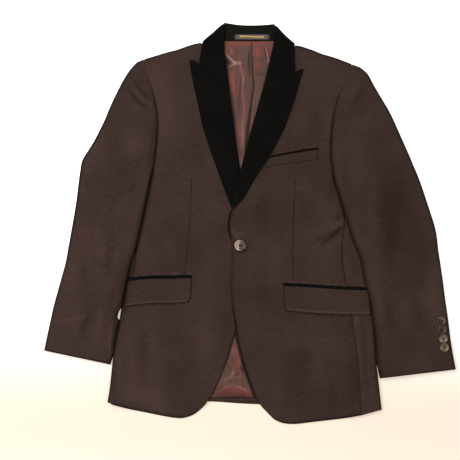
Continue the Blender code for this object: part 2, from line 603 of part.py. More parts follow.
# Collar over the shoulders; its top turns down over the shoulder to the fall beneath
for side, table, top, gorge in (
    ("right", RIGHT_COLLAR, RIGHT_COLLAR_TOP, RIGHT_COLLAR_GORGE),
    ("left", LEFT_COLLAR, LEFT_COLLAR_TOP, LEFT_COLLAR_GORGE),
):
    edge, fold = inset(table, COLLAR_TURN + FRONT_CLOTH / 2)
    top = [tuple(point) for point in top[:-1]] + [tuple(fold[0])]
    gorge = [tuple(point) for point in gorge[:-1]] + [tuple(fold[-1])]
    grid = patch(edge, fold, top, gorge, rows=[row for row, drop in COLLAR_ROWS])
    surface = with_height(grid, lambda x, y: LAPEL_MID + neck_lift(x, y, LAPEL_REACH))
    surface = bend_down(surface, COLLAR_TURN, COLLAR_FOOT)
    for points, (row, drop) in zip(surface, COLLAR_ROWS):
        points[:, 2] -= drop * (points[:, 2] - BACK_MID - SHOULDER_CLEARANCE)
    sheet("collar_" + side, surface, FRONT_CLOTH, "velvet")

# Back collar: stand, fold at its top, and the fall beneath
stand_mid = BACK_MID + 2 * BACK_COLLAR_BEND
fold_y = BACK_COLLAR[-1][0]
sections = [(y, a, b, stand_mid) for y, a, b in BACK_COLLAR]
for angle in np.linspace(0, np.pi, BEND_STEPS + 1)[1:-1]:
    z = BACK_MID + BACK_COLLAR_BEND * (1 + np.cos(angle))
    sections.append((fold_y + BACK_COLLAR_BEND * np.sin(angle), *BACK_COLLAR[-1][1:], z))
sections += [(y, a, b, BACK_MID) for y, a, b in BACK_COLLAR_FALL]
rows = []
for y, a, b, z in sections:
    sag = BACK_COLLAR_DIP * ease((y - BACK_COLLAR_DIP_FROM) / (fold_y - BACK_COLLAR_DIP_FROM))
    shares = np.linspace(-1, 1, BACK_COLLAR_COLUMNS + 1)
    rows.append([((a + b) / 2 + (b - a) / 2 * s, y - sag * (1 - s * s), z) for s in shares])
sheet("collar_back", rows, CLOTH, "velvet")

# Label, sewn on the stand
bpy.ops.mesh.primitive_cube_add(size=1.0)
label = bpy.context.object
label.name = "neck_label"
for collection in list(label.users_collection):
    collection.objects.unlink(label)
jacket.objects.link(label)
for vertex in label.data.vertices:
    vertex.co = [vertex.co[k] * LABEL_SIZE[k] * MM for k in range(3)]
label_z = stand_mid + CLOTH / 2 + TOUCH_GAP + LABEL_SIZE[2] / 2
label.location = (LABEL_CENTRE[0] * MM, LABEL_CENTRE[1] * MM, label_z * MM)
label.data.materials.append(materials["label"])

make_sleeve("right", RIGHT_SLEEVE, RIGHT_SLEEVE_LIFT, RIGHT_SIDE)
make_sleeve("left", LEFT_SLEEVE, LEFT_SLEEVE_LIFT, LEFT_SIDE)

# Pockets
strip("flap_jetting_right", RIGHT_JETTING, JETTING_DEPTH, POCKET_MID, CLOTH, "velvet")
strip("flap_jetting_left", LEFT_JETTING, JETTING_DEPTH, POCKET_MID, CLOTH, "velvet")
for side, table, top, bottom in (
    ("right", RIGHT_FLAP, RIGHT_FLAP_TOP, RIGHT_FLAP_EDGE),
    ("left", LEFT_FLAP, LEFT_FLAP_TOP, LEFT_FLAP_EDGE),
):
    grid = patch(*split(table), top, bottom)
    sheet("flap_" + side, with_height(grid, lambda x, y: POCKET_MID), CLOTH, "suiting")
welt_top = np.array([(x, top) for x, top, bottom in WELT], float)
welt_bottom = np.array([(x, bottom) for x, top, bottom in WELT], float)
grid = np.stack([welt_top, (welt_top + welt_bottom) / 2, welt_bottom])
sheet("breast_welt", with_height(grid, lambda x, y: POCKET_MID), CLOTH, "suiting")
strip("breast_jetting", WELT_JETTING, WELT_JETTING_DEPTH, POCKET_MID, CLOTH, "velvet")

# Buttons: one on the front, four on the left cuff
front_top = FRONT_MID + OVER_FRONT + FRONT_CLOTH / 2
make_button("front_button", FRONT_BUTTON, FRONT_BUTTON_DIAMETER, front_top + TOUCH_GAP)
sleeve_top = BACK_MID + SLEEVE_GAP + CLOTH / 2
for number, centre in enumerate(CUFF_BUTTONS, 1):
    make_button(f"cuff_button_{number}", centre, CUFF_BUTTON_DIAMETER, sleeve_top + TOUCH_GAP)
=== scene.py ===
# Smoking jacket laid flat: wool body and sleeves, velvet collar and lapels, satin lining, horn buttons.
import bpy
import numpy as np
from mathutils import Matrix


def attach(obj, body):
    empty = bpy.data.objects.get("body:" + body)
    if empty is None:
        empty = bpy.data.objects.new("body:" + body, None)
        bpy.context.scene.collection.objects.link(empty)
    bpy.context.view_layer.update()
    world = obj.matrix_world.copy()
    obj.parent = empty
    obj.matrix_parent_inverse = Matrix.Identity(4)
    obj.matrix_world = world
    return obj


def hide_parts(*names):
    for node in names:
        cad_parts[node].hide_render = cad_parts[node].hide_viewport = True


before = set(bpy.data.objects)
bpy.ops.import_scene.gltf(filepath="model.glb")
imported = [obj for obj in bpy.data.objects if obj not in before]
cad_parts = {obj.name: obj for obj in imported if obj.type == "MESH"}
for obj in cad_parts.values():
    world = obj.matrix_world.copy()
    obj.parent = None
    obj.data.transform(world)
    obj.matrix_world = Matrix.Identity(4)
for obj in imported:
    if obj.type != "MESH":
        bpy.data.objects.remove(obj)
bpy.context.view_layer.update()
mm = 0.001
print("frame loaded")

outward = {"right": -1, "left": 1}  # way along x from the jacket's middle to each side

# Heights in millimetres of the cloths' middle surfaces, and how the layers lift each other
layers = {
    "back": 0.75, "lining": 2.35, "front": 5.6, "lapel": 7.75, "pocket": 7.6,
    "woolThick": 1.5, "frontThick": 1.8, "liningThick": 1.0,
    "seamGap": 0.4, "touchGap": 0.3,
    "neckLift": 2.0, "neckHalfWidth": 95, "neckEaseAcross": 28, "neckFoot": 308, "neckEaseDown": 22,
    "overLapel": 4.3, "overFront": 2.2, "overlapEdge": 8, "overlapEase": 32,
    "panelReach": 6, "liningReach": 14, "lapelReach": 24, "lapelOverlapReach": 22,
}


# Shapes

# Smooth step: 3t^2 - 2t^3, with t held between 0 and 1.
def ease(value):
    t = np.clip(value, 0, 1)
    return t * t * (3 - 2 * t)


# Share that grows downward from nothing at a height: ease((top - y) / over).
def below(y, top, over):
    return ease((top - y) / over)


# Value of (y, value) rows at every y, eased from each row to the next.
def follow(rows, y):
    rows = np.array(sorted(rows), float)
    i = np.clip(np.searchsorted(rows[:, 0], y) - 1, 0, len(rows) - 2)
    t = (y - rows[i, 0]) / (rows[i + 1, 0] - rows[i, 0])
    return rows[i, 1] + (rows[i + 1, 1] - rows[i, 1]) * ease(t)


# Points at fractional indices of a row of points: each stretch is the cubic that its two ends
# and their two neighbours set (Catmull and Rom's), so it goes through every point.
def curveThrough(points, at):
    p = np.array(points, float)
    p = np.vstack([2 * p[0] - p[1], p, 2 * p[-1] - p[-2]])
    i = np.clip(np.floor(at).astype(int), 0, len(p) - 4)
    t = (at - i)[:, None]
    a, b, c, d = p[i], p[i + 1], p[i + 2], p[i + 3]
    return b + t / 2 * (c - a + t * (2 * a - 5 * b + 4 * c - d + t * (3 * (b - c) + d - a)))


# Points spread evenly over the indices of a row of points.
def sampled(points, count):
    return curveThrough(points, np.linspace(0, len(points) - 1, count))


# Across place of an edge at each y.
def edgeX(edge, y):
    edge = np.array(edge, float)
    order = np.argsort(edge[:, 1])
    return np.interp(y, edge[order, 1], edge[order, 0])


# Soft rise: exp(-(d / width)^2), full at the middle and nothing a few widths away.
def soft(d, width):
    return np.exp(-(d / width) ** 2)


# Flat grid between four edges: (1-u) first + u second + (1-v) top + v bottom, less the blend of the corners.
# The rows are a number of even ones or their own places from 0 to 1.
def fillEdges(first, second, top, bottom, rows, columns):
    v = np.linspace(0, 1, rows) if np.isscalar(rows) else rows
    u = np.linspace(0, 1, columns)
    first, second = (curveThrough(edge, v * (len(edge) - 1))[:, None] for edge in (first, second))
    top, bottom = (curveThrough(edge, u * (len(edge) - 1))[None] for edge in (top, bottom))
    u, v = u[None, :, None], v[:, None, None]
    corners = (1 - v) * ((1 - u) * top[:, :1] + u * top[:, -1:])
    corners = corners + v * ((1 - u) * bottom[:, :1] + u * bottom[:, -1:])
    return (1 - u) * first + u * second + (1 - v) * top + v * bottom - corners


# First and second edges of a table with two points a row.
def twoEdges(table):
    table = np.array(table, float)
    return table[:, :2], table[:, 2:4]


# Flat grid of a panel from the edges, top and hem in its dictionary.
def flatPanel(values, side):
    first, second = twoEdges(values[side + "Edges"])
    top, hem = values[side + "Top"], values[side + "Hem"]
    return fillEdges(first, second, top, hem, values["rows"], values["columns"])


# Soft folds added up: height * exp(-(d / width)^2), with d measured from a bowed line
# and the height tapered to nothing over the ends of the line.
def softFolds(x, y, rows):
    total = np.zeros(x.shape)
    for x0, y0, x1, y1, bow, width, height in rows:
        length = np.hypot(x1 - x0, y1 - y0)
        wayX, wayY = (x1 - x0) / length, (y1 - y0) / length
        t = np.clip(((x - x0) * wayX + (y - y0) * wayY) / length, 0, 1)
        d = (y - y0) * wayX - (x - x0) * wayY - bow * 4 * t * (1 - t)
        d += width * 0.25 * np.sin(t * 7 + x0)
        taper = ease(t / 0.4) * ease((1 - t) / 0.45)
        total += height * soft(d, width * (0.7 + 0.6 * t)) * taper
    return total


# Slow unevenness of laid cloth: a few crossed sine waves, tall ones running down the cloth.
def slowWaves(x, y, height, phase):
    wave = np.sin(x / 23 + np.sin(y / 61 + phase) * 1.3 + phase) * 0.5
    wave += np.sin(x / 47 - y / 90 + 2.1 * phase) * 0.6 + np.sin(y / 38 + x / 70 + 3.7 * phase) * 0.3
    return wave * height


# Fall of a turned edge: drop * exp(-(distance from the edge / width)^2), the deepest of the edges named.
def turnedEdges(grid, edges, drop, width):
    flat = grid[..., :2]
    ends = {"first": flat[:, :1], "second": flat[:, -1:], "top": flat[:1], "bottom": flat[-1:]}
    falls = [soft(np.linalg.norm(flat - ends[edge], axis=2), width) for edge in edges]
    return drop * np.max(falls, axis=0)


# Painted shade: a dark rim along the edges named, -depth * exp(-(distance / width)^2), for a material's fold
# mask.
def edgeShade(grid, edges, depth, width):
    return -turnedEdges(grid, edges, depth, width)


# Moves an edge of a flat grid across to a line where that is near it, and the columns beside it by less.
def snapEdge(flat, column, line, near=4.0, columns=12):
    x, y = flat[:, column, 0], flat[:, column, 1]
    shift = edgeX(line, y) - x
    inside = (y > line[:, 1].min()) & (y < line[:, 1].max())
    shift *= inside * (1 - ease((np.abs(shift) - near / 2) / (near / 2)))
    away = np.arange(flat.shape[1]) if column == 0 else np.arange(flat.shape[1])[::-1]
    flat[..., 0] += shift[:, None] * (1 - ease(away / columns))[None]
    return flat


# Least distance from each grid point to a polyline, in millimetres.
def distanceTo(x, y, line):
    best = np.full(x.shape, 1e3)
    for (x0, y0), (x1, y1) in zip(line, line[1:]):
        t = ((x - x0) * (x1 - x0) + (y - y0) * (y1 - y0)) / ((x1 - x0) ** 2 + (y1 - y0) ** 2)
        t = np.clip(t, 0, 1)
        best = np.minimum(best, np.hypot(x - x0 - t * (x1 - x0), y - y0 - t * (y1 - y0)))
    return best


# Lift of the cloths over the collar's fall beneath: full near the neck, eased outward and downward.
def neckLift(x, y, reach):
    across = 1 - ease((np.abs(x) - layers["neckHalfWidth"] - reach) / layers["neckEaseAcross"])
    return layers["neckLift"] * across * ease((y - layers["neckFoot"] + reach) / layers["neckEaseDown"])


# Lift of the left front where it laps over the right lapel, then over the right front.
def overlapLift(x, y, reach):
    across = 1 - ease((x - layers["overlapEdge"] - reach) / layers["overlapEase"])
    high, low = layers["overLapel"], layers["overFront"]
    rows = [(142 + reach, 0), (108 + reach, high), (-6 - reach, high), (-28 - reach, low)]
    return across * follow(rows + [(-212, low), (-262, 0)], y)


# Grid with a height at each point.
def raised(flat, z):
    return np.concatenate([flat, z[..., None]], axis=2)


# Columns past the last one that turn the cloth down round a radius, outward from the grid's last two columns.
def turnDown(grid, radius, foot, steps=7):
    tangent = np.gradient(grid[:, -1, :2], axis=0)
    outward = np.stack([tangent[:, 1], -tangent[:, 0]], axis=1)
    outward /= np.linalg.norm(outward, axis=1)[:, None]
    outward *= np.sign(np.sum(outward * (grid[:, -1, :2] - grid[:, -2, :2]), axis=1))[:, None]
    angle = np.linspace(0, np.pi / 2, steps + 1)[1:]
    turned = np.repeat(grid[:, -1:], steps, axis=1)
    turned[..., :2] += outward[:, None] * radius * np.sin(angle)[None, :, None]
    turned[..., 2] -= radius * (1 - np.cos(angle))[None]
    last = turned[:, -1:].copy()
    last[..., 2] -= foot
    return np.concatenate([grid, turned, last], axis=1)


# Lengths along a grid in metres, for the weave: across each row from its middle, and down the middle column.
def unrolled(grid):
    across = np.cumsum(np.linalg.norm(np.diff(grid, axis=1, prepend=grid[:, :1]), axis=2), axis=1)
    down = np.cumsum(np.linalg.norm(np.diff(grid, axis=0, prepend=grid[:1]), axis=2), axis=0)
    middle = [grid.shape[1] // 2]
    return np.stack([across - across[:, middle], down[:, middle] + 0 * across], axis=2) * mm


# Mesh of quads from a grid in millimetres, with a UV map of lengths and a float attribute for each mask.
def gridMesh(name, grid, uv=None, masks=None, closeAcross=False):
    rows, columns = grid.shape[:2]
    index = np.arange(rows * columns).reshape(rows, columns)
    if closeAcross:
        index = np.concatenate([index, index[:, :1]], axis=1)
    quads = np.stack([index[:-1, :-1], index[1:, :-1], index[1:, 1:], index[:-1, 1:]], axis=2).reshape(-1, 4)
    mesh = bpy.data.meshes.new(name)
    mesh.vertices.add(rows * columns)
    mesh.vertices.foreach_set("co", (grid.reshape(-1) * mm).astype(np.float32))
    mesh.loops.add(len(quads) * 4)
    mesh.loops.foreach_set("vertex_index", quads.reshape(-1).astype(np.int32))
    mesh.polygons.add(len(quads))
    mesh.polygons.foreach_set("loop_start", np.arange(0, len(quads) * 4, 4, dtype=np.int32))
    mesh.polygons.foreach_set("loop_total", np.full(len(quads), 4, dtype=np.int32))
    mesh.update(calc_edges=True)
    mesh.polygons.foreach_set("use_smooth", np.ones(len(quads), dtype=bool))
    uv = grid[..., :2] * mm if uv is None else uv
    layer = mesh.uv_layers.new(name="cloth")
    layer.data.foreach_set("uv", uv.reshape(-1, 2)[quads.reshape(-1)].reshape(-1).astype(np.float32))
    for mask, values in (masks or {}).items():
        attribute = mesh.attributes.new(mask, "FLOAT", "POINT")
        attribute.data.foreach_set("value", np.ascontiguousarray(values, dtype=np.float32).reshape(-1))
    return mesh


# Object of a mesh, with its material, riding on the jacket and standing for its CAD nodes.
def addPiece(name, mesh, material, nodes=()):
    piece = bpy.data.objects.new(name, mesh)
    bpy.context.scene.collection.objects.link(piece)
    mesh.materials.append(material)
    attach(piece, "root")
    if nodes:
        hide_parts(*nodes)
    return piece


# Masks of a cloth with no sewn seam near it, shaded by its folds.
def clothMasks(shape, fold=0.0):
    return {"seam": np.full(shape, 9.0), "fold": np.zeros(shape) + fold}


# Thickness of a piece: half of it either side of the grid with offset 0, all of it beneath with offset -1.
def thicken(piece, thickness, offset):
    solid = piece.modifiers.new("thickness", "SOLIDIFY")
    solid.thickness = thickness * mm
    solid.offset = offset


# Cloth from a grid: its thickness either side of the grid, with rounded cut edges.
# The slot sets its material, and the weave follows the lengths of a curved grid.
def addCloth(name, grid, thickness, slot, nodes, masks=None, curved=False, rounding=0.55):
    masks = clothMasks(grid.shape[:2]) if masks is None else masks
    mesh = gridMesh(name, grid, unrolled(grid) if curved else None, masks)
    piece = addPiece(name, mesh, cloths[slot], nodes)
    thicken(piece, thickness, 0)
    bevel = piece.modifiers.new("edges", "BEVEL")
    bevel.width = rounding * mm
    bevel.segments = 2
    bevel.limit_method = "ANGLE"
    bevel.angle_limit = np.radians(55)


# Materials

# Node with its settings and inputs; an input that is a socket is linked.
def addNode(tree, kind, inputs=None, **settings):
    made = tree.nodes.new(kind)
    for key, value in settings.items():
        setattr(made, key, value)
    for key, value in (inputs or {}).items():
        if isinstance(value, bpy.types.NodeSocket):
            tree.links.new(value, made.inputs[key])
        else:
            made.inputs[key].default_value = value
    return made


def mathNode(tree, operation, a, b=0.0, c=0.0):
    return addNode(tree, "ShaderNodeMath", {0: a, 1: b, 2: c}, operation=operation).outputs[0]


# Sum of outputs, each times its own share.
def weightedSum(tree, *parts):
    products = [mathNode(tree, "MULTIPLY", value, share) for value, share in parts]
    total = products[0]
    for product in products[1:]:
        total = mathNode(tree, "ADD", total, product)
    return total


def mixColours(tree, factor, a, b, blend="MIX"):
    made = addNode(tree, "ShaderNodeMix", {0: factor}, data_type="RGBA", blend_type=blend)
    for slot, value in ((6, a), (7, b)):
        if isinstance(value, bpy.types.NodeSocket):
            tree.links.new(value, made.inputs[slot])
        else:
            made.inputs[slot].default_value = (*value, 1)
    return made.outputs[2]


def mapRange(tree, value, low, high, outLow=0.0, outHigh=1.0):
    inputs = {0: value, 1: low, 2: high, 3: outLow, 4: outHigh}
    return addNode(tree, "ShaderNodeMapRange", inputs, interpolation_type="SMOOTHSTEP").outputs[0]


def addNoise(tree, vector, scale, detail, roughness=0.5, distortion=0.0):
    inputs = {"Vector": vector, "Scale": scale, "Detail": detail, "Roughness": roughness}
    inputs["Distortion"] = distortion
    return addNode(tree, "ShaderNodeTexNoise", inputs).outputs[0]


# New group with its sockets; returns its tree, what it is given and what it puts out.
def startGroup(name, takes, gives):
    tree = bpy.data.node_groups.new(name, "ShaderNodeTree")
    for label, kind in takes.items():
        tree.interface.new_socket(label, in_out="INPUT", socket_type="NodeSocket" + kind)
    for label in gives:
        tree.interface.new_socket(label, in_out="OUTPUT", socket_type="NodeSocketFloat")
    return tree, tree.nodes.new("NodeGroupInput").outputs, tree.nodes.new("NodeGroupOutput").inputs


# Shared group. Weave: slanted and level threads as sines of the cloth's lengths, with noise along them.
def makeThreadWeave():
    takes = {"Cloth": "Vector", "Threads": "Float", "Slant": "Float"}
    tree, given, result = startGroup("threadWeave", takes, ["Height", "Fleck"])
    lengths = addNode(tree, "ShaderNodeSeparateXYZ", {0: given["Cloth"]}).outputs
    turns = mathNode(tree, "MULTIPLY", given["Threads"], 2 * np.pi)
    slanted = mathNode(tree, "ADD", lengths[0], mathNode(tree, "MULTIPLY", lengths[1], given["Slant"]))
    warp = mathNode(tree, "SINE", mathNode(tree, "MULTIPLY", slanted, turns))
    weft = mathNode(tree, "SINE", mathNode(tree, "MULTIPLY", lengths[1], turns))
    height = mathNode(tree, "MULTIPLY_ADD", weft, 0.15, mathNode(tree, "MULTIPLY_ADD", warp, 0.35, 0.5))
    stretched = addNode(tree, "ShaderNodeMapping", {0: given["Cloth"], 3: (1, 0.22, 1)}).outputs[0]
    fleck = addNoise(tree, stretched, mathNode(tree, "MULTIPLY", given["Threads"], 0.55), 2.0, 0.6)
    tree.links.new(height, result["Height"])
    tree.links.new(fleck, result["Fleck"])
    return tree


# Shared group. Wear: soft patches of two sizes from the place on the jacket, as brushing and handling leave.
def makeHandling():
    tree, given, result = startGroup("handling", {"Place": "Vector", "Patch": "Float"}, ["Broad", "Fine"])
    broad = addNoise(tree, given["Place"], given["Patch"], 3.0, 0.55, 0.4)
    fine = addNoise(tree, given["Place"], mathNode(tree, "MULTIPLY", given["Patch"], 14.0), 3.0, 0.7)
    tree.links.new(broad, result["Broad"])
    tree.links.new(fine, result["Fine"])
    return tree


threadWeave = makeThreadWeave()
handling = makeHandling()


# New material and its tree, with the fixed values of its shader set.
def startMaterial(name, fixed):
    material = bpy.data.materials.new(name)
    material.use_nodes = True
    shader = material.node_tree.nodes["Principled BSDF"]
    for label, value in fixed.items():
        shader.inputs[label].default_value = value
    return material, material.node_tree


# Colour and relief joined to the shader; a relief of 1 stands a millimetre high.
def joinShader(tree, colour, relief=None, also=()):
    shader = tree.nodes["Principled BSDF"]
    for label in ("Base Color", *also):
        tree.links.new(colour, shader.inputs[label])
    if relief is not None:
        bump = addNode(tree, "ShaderNodeBump", {"Height": relief, "Distance": mm, "Strength": 1.0})
        tree.links.new(bump.outputs[0], shader.inputs["Normal"])


def readPlace(tree):
    return addNode(tree, "ShaderNodeTexCoord").outputs["Object"]


# Weave group reading the cloth's own lengths, and wear group reading the place on the jacket.
def addWeave(tree, threads, slant):
    uv = addNode(tree, "ShaderNodeUVMap", uv_map="cloth").outputs[0]
    inputs = {"Cloth": uv, "Threads": threads, "Slant": slant}
    return addNode(tree, "ShaderNodeGroup", inputs, node_tree=threadWeave).outputs


def addWear(tree, patch):
    inputs = {"Place": readPlace(tree), "Patch": patch}
    return addNode(tree, "ShaderNodeGroup", inputs, node_tree=handling).outputs


def readMask(tree, name):
    return addNode(tree, "ShaderNodeAttribute", attribute_name=name, attribute_type="GEOMETRY").outputs["Fac"]


# The seam brown colours sewn seams, and is also the colour of the painted deep shade in creases and rims.
wool = {
    "shadow": (0.0223, 0.0119, 0.0097), "light": (0.0500, 0.0282, 0.0226), "seam": (0.0035, 0.0022, 0.0018),
    "threads": 1150.0, "slant": 1.0, "patch": 11.0, "weaveRelief": 0.10, "seamRelief": 0.55, "seamWidth": 2.1,
    "fleck": 0.55, "broad": 0.35, "fine": 0.10, "foldShade": 0.15, "deepShade": 0.92, "seamShade": 0.8,
    "shader": {"Roughness": 0.9, "Sheen Weight": 0.02, "Sheen Roughness": 0.5,
               "Sheen Tint": (0.75, 0.6, 0.52, 1), "Specular IOR Level": 0.10},
}


# Wool: two browns mixed by fleck and handling and by the fold mask's painted light and shade (painted shade
# in troughs and along rims, painted light on ridges), darker still toward the seam brown where that painted
# shade is deep, darker along sewn seams, twill relief.
def makeWool(name, values):
    material, tree = startMaterial(name, values["shader"])
    weave, worn = addWeave(tree, values["threads"], values["slant"]), addWear(tree, values["patch"])
    tone = weightedSum(tree, (weave["Fleck"], values["fleck"]), (worn["Broad"], values["broad"]),
                       (worn["Fine"], values["fine"]), (readMask(tree, "fold"), values["foldShade"]))
    colour = mixColours(tree, mapRange(tree, tone, 0.28, 0.74), values["shadow"], values["light"])
    # Painted deep shade: where the tone falls far below the two browns, the colour goes on toward the seam
    # brown.
    deepShade = mathNode(tree, "MULTIPLY", mapRange(tree, tone, 0.22, -0.50), values["deepShade"])
    colour = mixColours(tree, deepShade, colour, values["seam"])
    seam = mapRange(tree, readMask(tree, "seam"), 0.1, values["seamWidth"], 1.0, 0.0)
    colour = mixColours(tree, mathNode(tree, "MULTIPLY", seam, values["seamShade"]), colour, values["seam"])
    relief = weightedSum(tree, (weave["Height"], values["weaveRelief"]), (seam, -values["seamRelief"]))
    joinShader(tree, colour, relief)
    return material


velvet = {
    "deep": (0.0010, 0.0009, 0.0006), "brushed": (0.0062, 0.0052, 0.0040), "threads": 1500.0, "patch": 26.0,
    "broad": 0.6, "fine": 0.4, "pile": 0.10,
    "shader": {"Roughness": 0.95, "Sheen Weight": 0.05, "Sheen Roughness": 0.35,
               "Sheen Tint": (0.55, 0.5, 0.45, 1), "Specular IOR Level": 0.1},
}


# Velvet: near-black pile, a little lighter where it is brushed one way, with a fine pile relief.
def makeVelvet(name, values):
    material, tree = startMaterial(name, values["shader"])
    weave, worn = addWeave(tree, values["threads"], 0.0), addWear(tree, values["patch"])
    tone = weightedSum(tree, (worn["Broad"], values["broad"]), (worn["Fine"], values["fine"]),
                       (readMask(tree, "fold"), 1.0))
    colour = mixColours(tree, mapRange(tree, tone, 0.42, 1.05), values["deep"], values["brushed"])
    pile = mathNode(tree, "ADD", weave["Fleck"], worn["Fine"])
    joinShader(tree, colour, mathNode(tree, "MULTIPLY", pile, values["pile"]))
    return material


satin = {
    # pale is the colour of the satin's painted sheen.
    "olive": (0.056, 0.038, 0.025), "red": (0.150, 0.038, 0.030), "pale": (0.250, 0.160, 0.125),
    "paintedShade": (0.005, 0.0035, 0.003), "threads": 1800.0, "slant": 0.3, "patch": 55.0, "relief": 0.05,
    "ripple": 0.7, "grooveShade": 0.92,
    "shader": {"Roughness": 0.46, "Specular IOR Level": 0.17, "Anisotropic": 0.4},
}


# Shot satin: olive and red mixed by the folds' own masks, with a painted sheen where it is creased, and
# painted shade in the pleat and where its depth mask sets it.
def makeSatin(name, values):
    material, tree = startMaterial(name, values["shader"])
    weave, worn = addWeave(tree, values["threads"], values["slant"]), addWear(tree, values["patch"])
    ripple = mathNode(tree, "MULTIPLY_ADD", worn["Broad"], values["ripple"], -values["ripple"] / 2)
    redness = mathNode(tree, "ADD", readMask(tree, "redness"), ripple)
    colour = mixColours(tree, mapRange(tree, redness, 0.0, 1.0), values["olive"], values["red"])
    paintedSheen = mathNode(tree, "ADD", readMask(tree, "paintedSheen"), mathNode(tree, "MULTIPLY", ripple, 0.5))
    colour = mixColours(tree, mapRange(tree, paintedSheen, 0.0, 1.0), colour, values["pale"])
    seam = mapRange(tree, readMask(tree, "seam"), 0.2, 1.5, 1.0, 0.0)
    paintedShade = mathNode(tree, "MAXIMUM", seam, mapRange(tree, readMask(tree, "depth"), 0.0, 1.0))
    paintedShade = mathNode(tree, "MULTIPLY", paintedShade, values["grooveShade"])
    colour = mixColours(tree, paintedShade, colour, values["paintedShade"])
    joinShader(tree, colour, mathNode(tree, "MULTIPLY", weave["Height"], values["relief"]))
    return material


horn = {
    "pale": (0.390, 0.290, 0.228), "brown": (0.098, 0.058, 0.041), "dark": (0.022, 0.011, 0.007),
    "streaks": 110.0, "stretch": (1, 0.35, 1),
    "shader": {"Roughness": 0.42, "Coat Weight": 0.02, "Coat Roughness": 0.15, "Specular IOR Level": 0.15},
}


# Horn: streaks of two browns across the button, polished, taken toward a dark brown by its hole mask: painted
# shade down its holes, in its dished middle and on its side away from the light, and each button's own
# darkness.
def makeHorn(name, values):
    material, tree = startMaterial(name, values["shader"])
    stretched = addNode(tree, "ShaderNodeMapping", {0: readPlace(tree), 3: values["stretch"]}).outputs[0]
    streak = mapRange(tree, addNoise(tree, stretched, values["streaks"], 2.0, distortion=0.8), 0.35, 0.68)
    colour = mixColours(tree, streak, values["pale"], values["brown"])
    joinShader(tree, mixColours(tree, readMask(tree, "hole"), colour, values["dark"]))
    return material


thread = {"threads": 1600.0, "slant": 1.6, "relief": 0.08}


# Thread: twisted strands along the tube from its own UV.
def makeThread(name, dark, light, roughness):
    material, tree = startMaterial(name, {"Roughness": roughness})
    height = addWeave(tree, thread["threads"], thread["slant"])["Height"]
    tone = mathNode(tree, "ADD", height, readMask(tree, "fold"))
    colour = mixColours(tree, mapRange(tree, tone, 0.0, 1.0), dark, light)
    joinShader(tree, colour, mathNode(tree, "MULTIPLY", height, thread["relief"]))
    return material


cloths = {
    "suiting": makeWool("brownWool", wool), "velvet": makeVelvet("blackVelvet", velvet),
    "lining": makeSatin("shotSatin", satin),
}
hornPlastic = makeHorn("paleHorn", horn)
sewingThread = makeThread("brownThread", (0.012, 0.007, 0.005), (0.035, 0.021, 0.016), 0.7)
labelCloth = makeThread("wovenLabel", (0.012, 0.009, 0.009), (0.125, 0.088, 0.082), 0.6)
goldThread = makeThread("goldThread", (0.24, 0.13, 0.030), (0.60, 0.36, 0.105), 0.45)
print("materials made")

# Back

backs = {
    "rows": 110, "columns": 34,
    "rightEdges": [
        (-203.5, 314.5, 0, 350.5), (-196.5, 287.5, 0, 315), (-188, 262.5, 0, 272.5),
        (-180.5, 230.5, 0, 232), (-177, 196.5, 0, 197), (-178, 161.5, 0, 162.5), (-183, 117.5, 0, 118),
        (-189, 87, 0, 87), (-173, 64, 0, 62), (-161.5, -13.5, 0, -13.5), (-158, -52, 0, -52),
        (-167.5, -113.5, 0, -113.5), (-175, -166, 0, -166), (-180, -229.5, 0, -229.5),
        (-185, -291, 0, -291), (-188.5, -343.5, 0, -349.5),
    ],
    "rightTop": [
        (-203.5, 314.5), (-173.5, 324), (-140.5, 333.5), (-100.5, 347), (-85, 347), (-63.5, 360),
        (-46.5, 350.5), (0, 350.5),
    ],
    "rightHem": [
        (-188.5, -343.5), (-162, -343.5), (-135, -343.5), (-108, -344), (-82.5, -344.5), (-52, -346),
        (-27, -348), (0, -349.5),
    ],
    "leftEdges": [
        (0.5, 350.5, 196, 304.5), (0.5, 315, 189, 283.5), (0.5, 272.5, 180.5, 267.5),
        (0.5, 243.5, 169, 243), (0.5, 212.5, 160.5, 211), (0.5, 168, 155, 167), (0.5, 129.5, 154.5, 129.5),
        (0.5, 93, 159, 93), (0.5, 67.5, 170, 71.5), (0.5, 52.5, 196.3, 52.5), (0.5, -9.5, 181, -10.5),
        (0.5, -52, 173, -52), (0.5, -117.5, 175, -117.5), (0.5, -179.5, 180, -180.5),
        (0.5, -243, 184, -243), (0.5, -303, 187.5, -303), (0.5, -349.5, 190.5, -355),
    ],
    "leftTop": [
        (0.5, 350.5), (43.5, 350.5), (62, 356.5), (80, 343.5), (94.5, 342.5), (121.5, 333.5), (158.5, 320),
        (196, 304.5),
    ],
    "leftHem": [
        (0.5, -349.5), (27, -350.5), (54, -351.5), (81, -352), (108, -353), (135, -353.5), (162, -354.5),
        (190.5, -355),
    ],
}


# Back: flat on the table, z = back + neckLift(x, y), with the centre-back seam marked.
def makeBack(side):
    flat = flatPanel(backs, side)
    flat[:, -1 if side == "right" else 0, 0] = 0
    x, y = flat[..., 0], flat[..., 1]
    z = layers["back"] + neckLift(x, y, layers["panelReach"])
    masks = {"seam": np.abs(x) + 0.2, "fold": np.zeros(x.shape)}
    addCloth("back" + side.title() + "Cloth", raised(flat, z), layers["woolThick"], "suiting",
             ["back_" + side], masks=masks)


# Lining

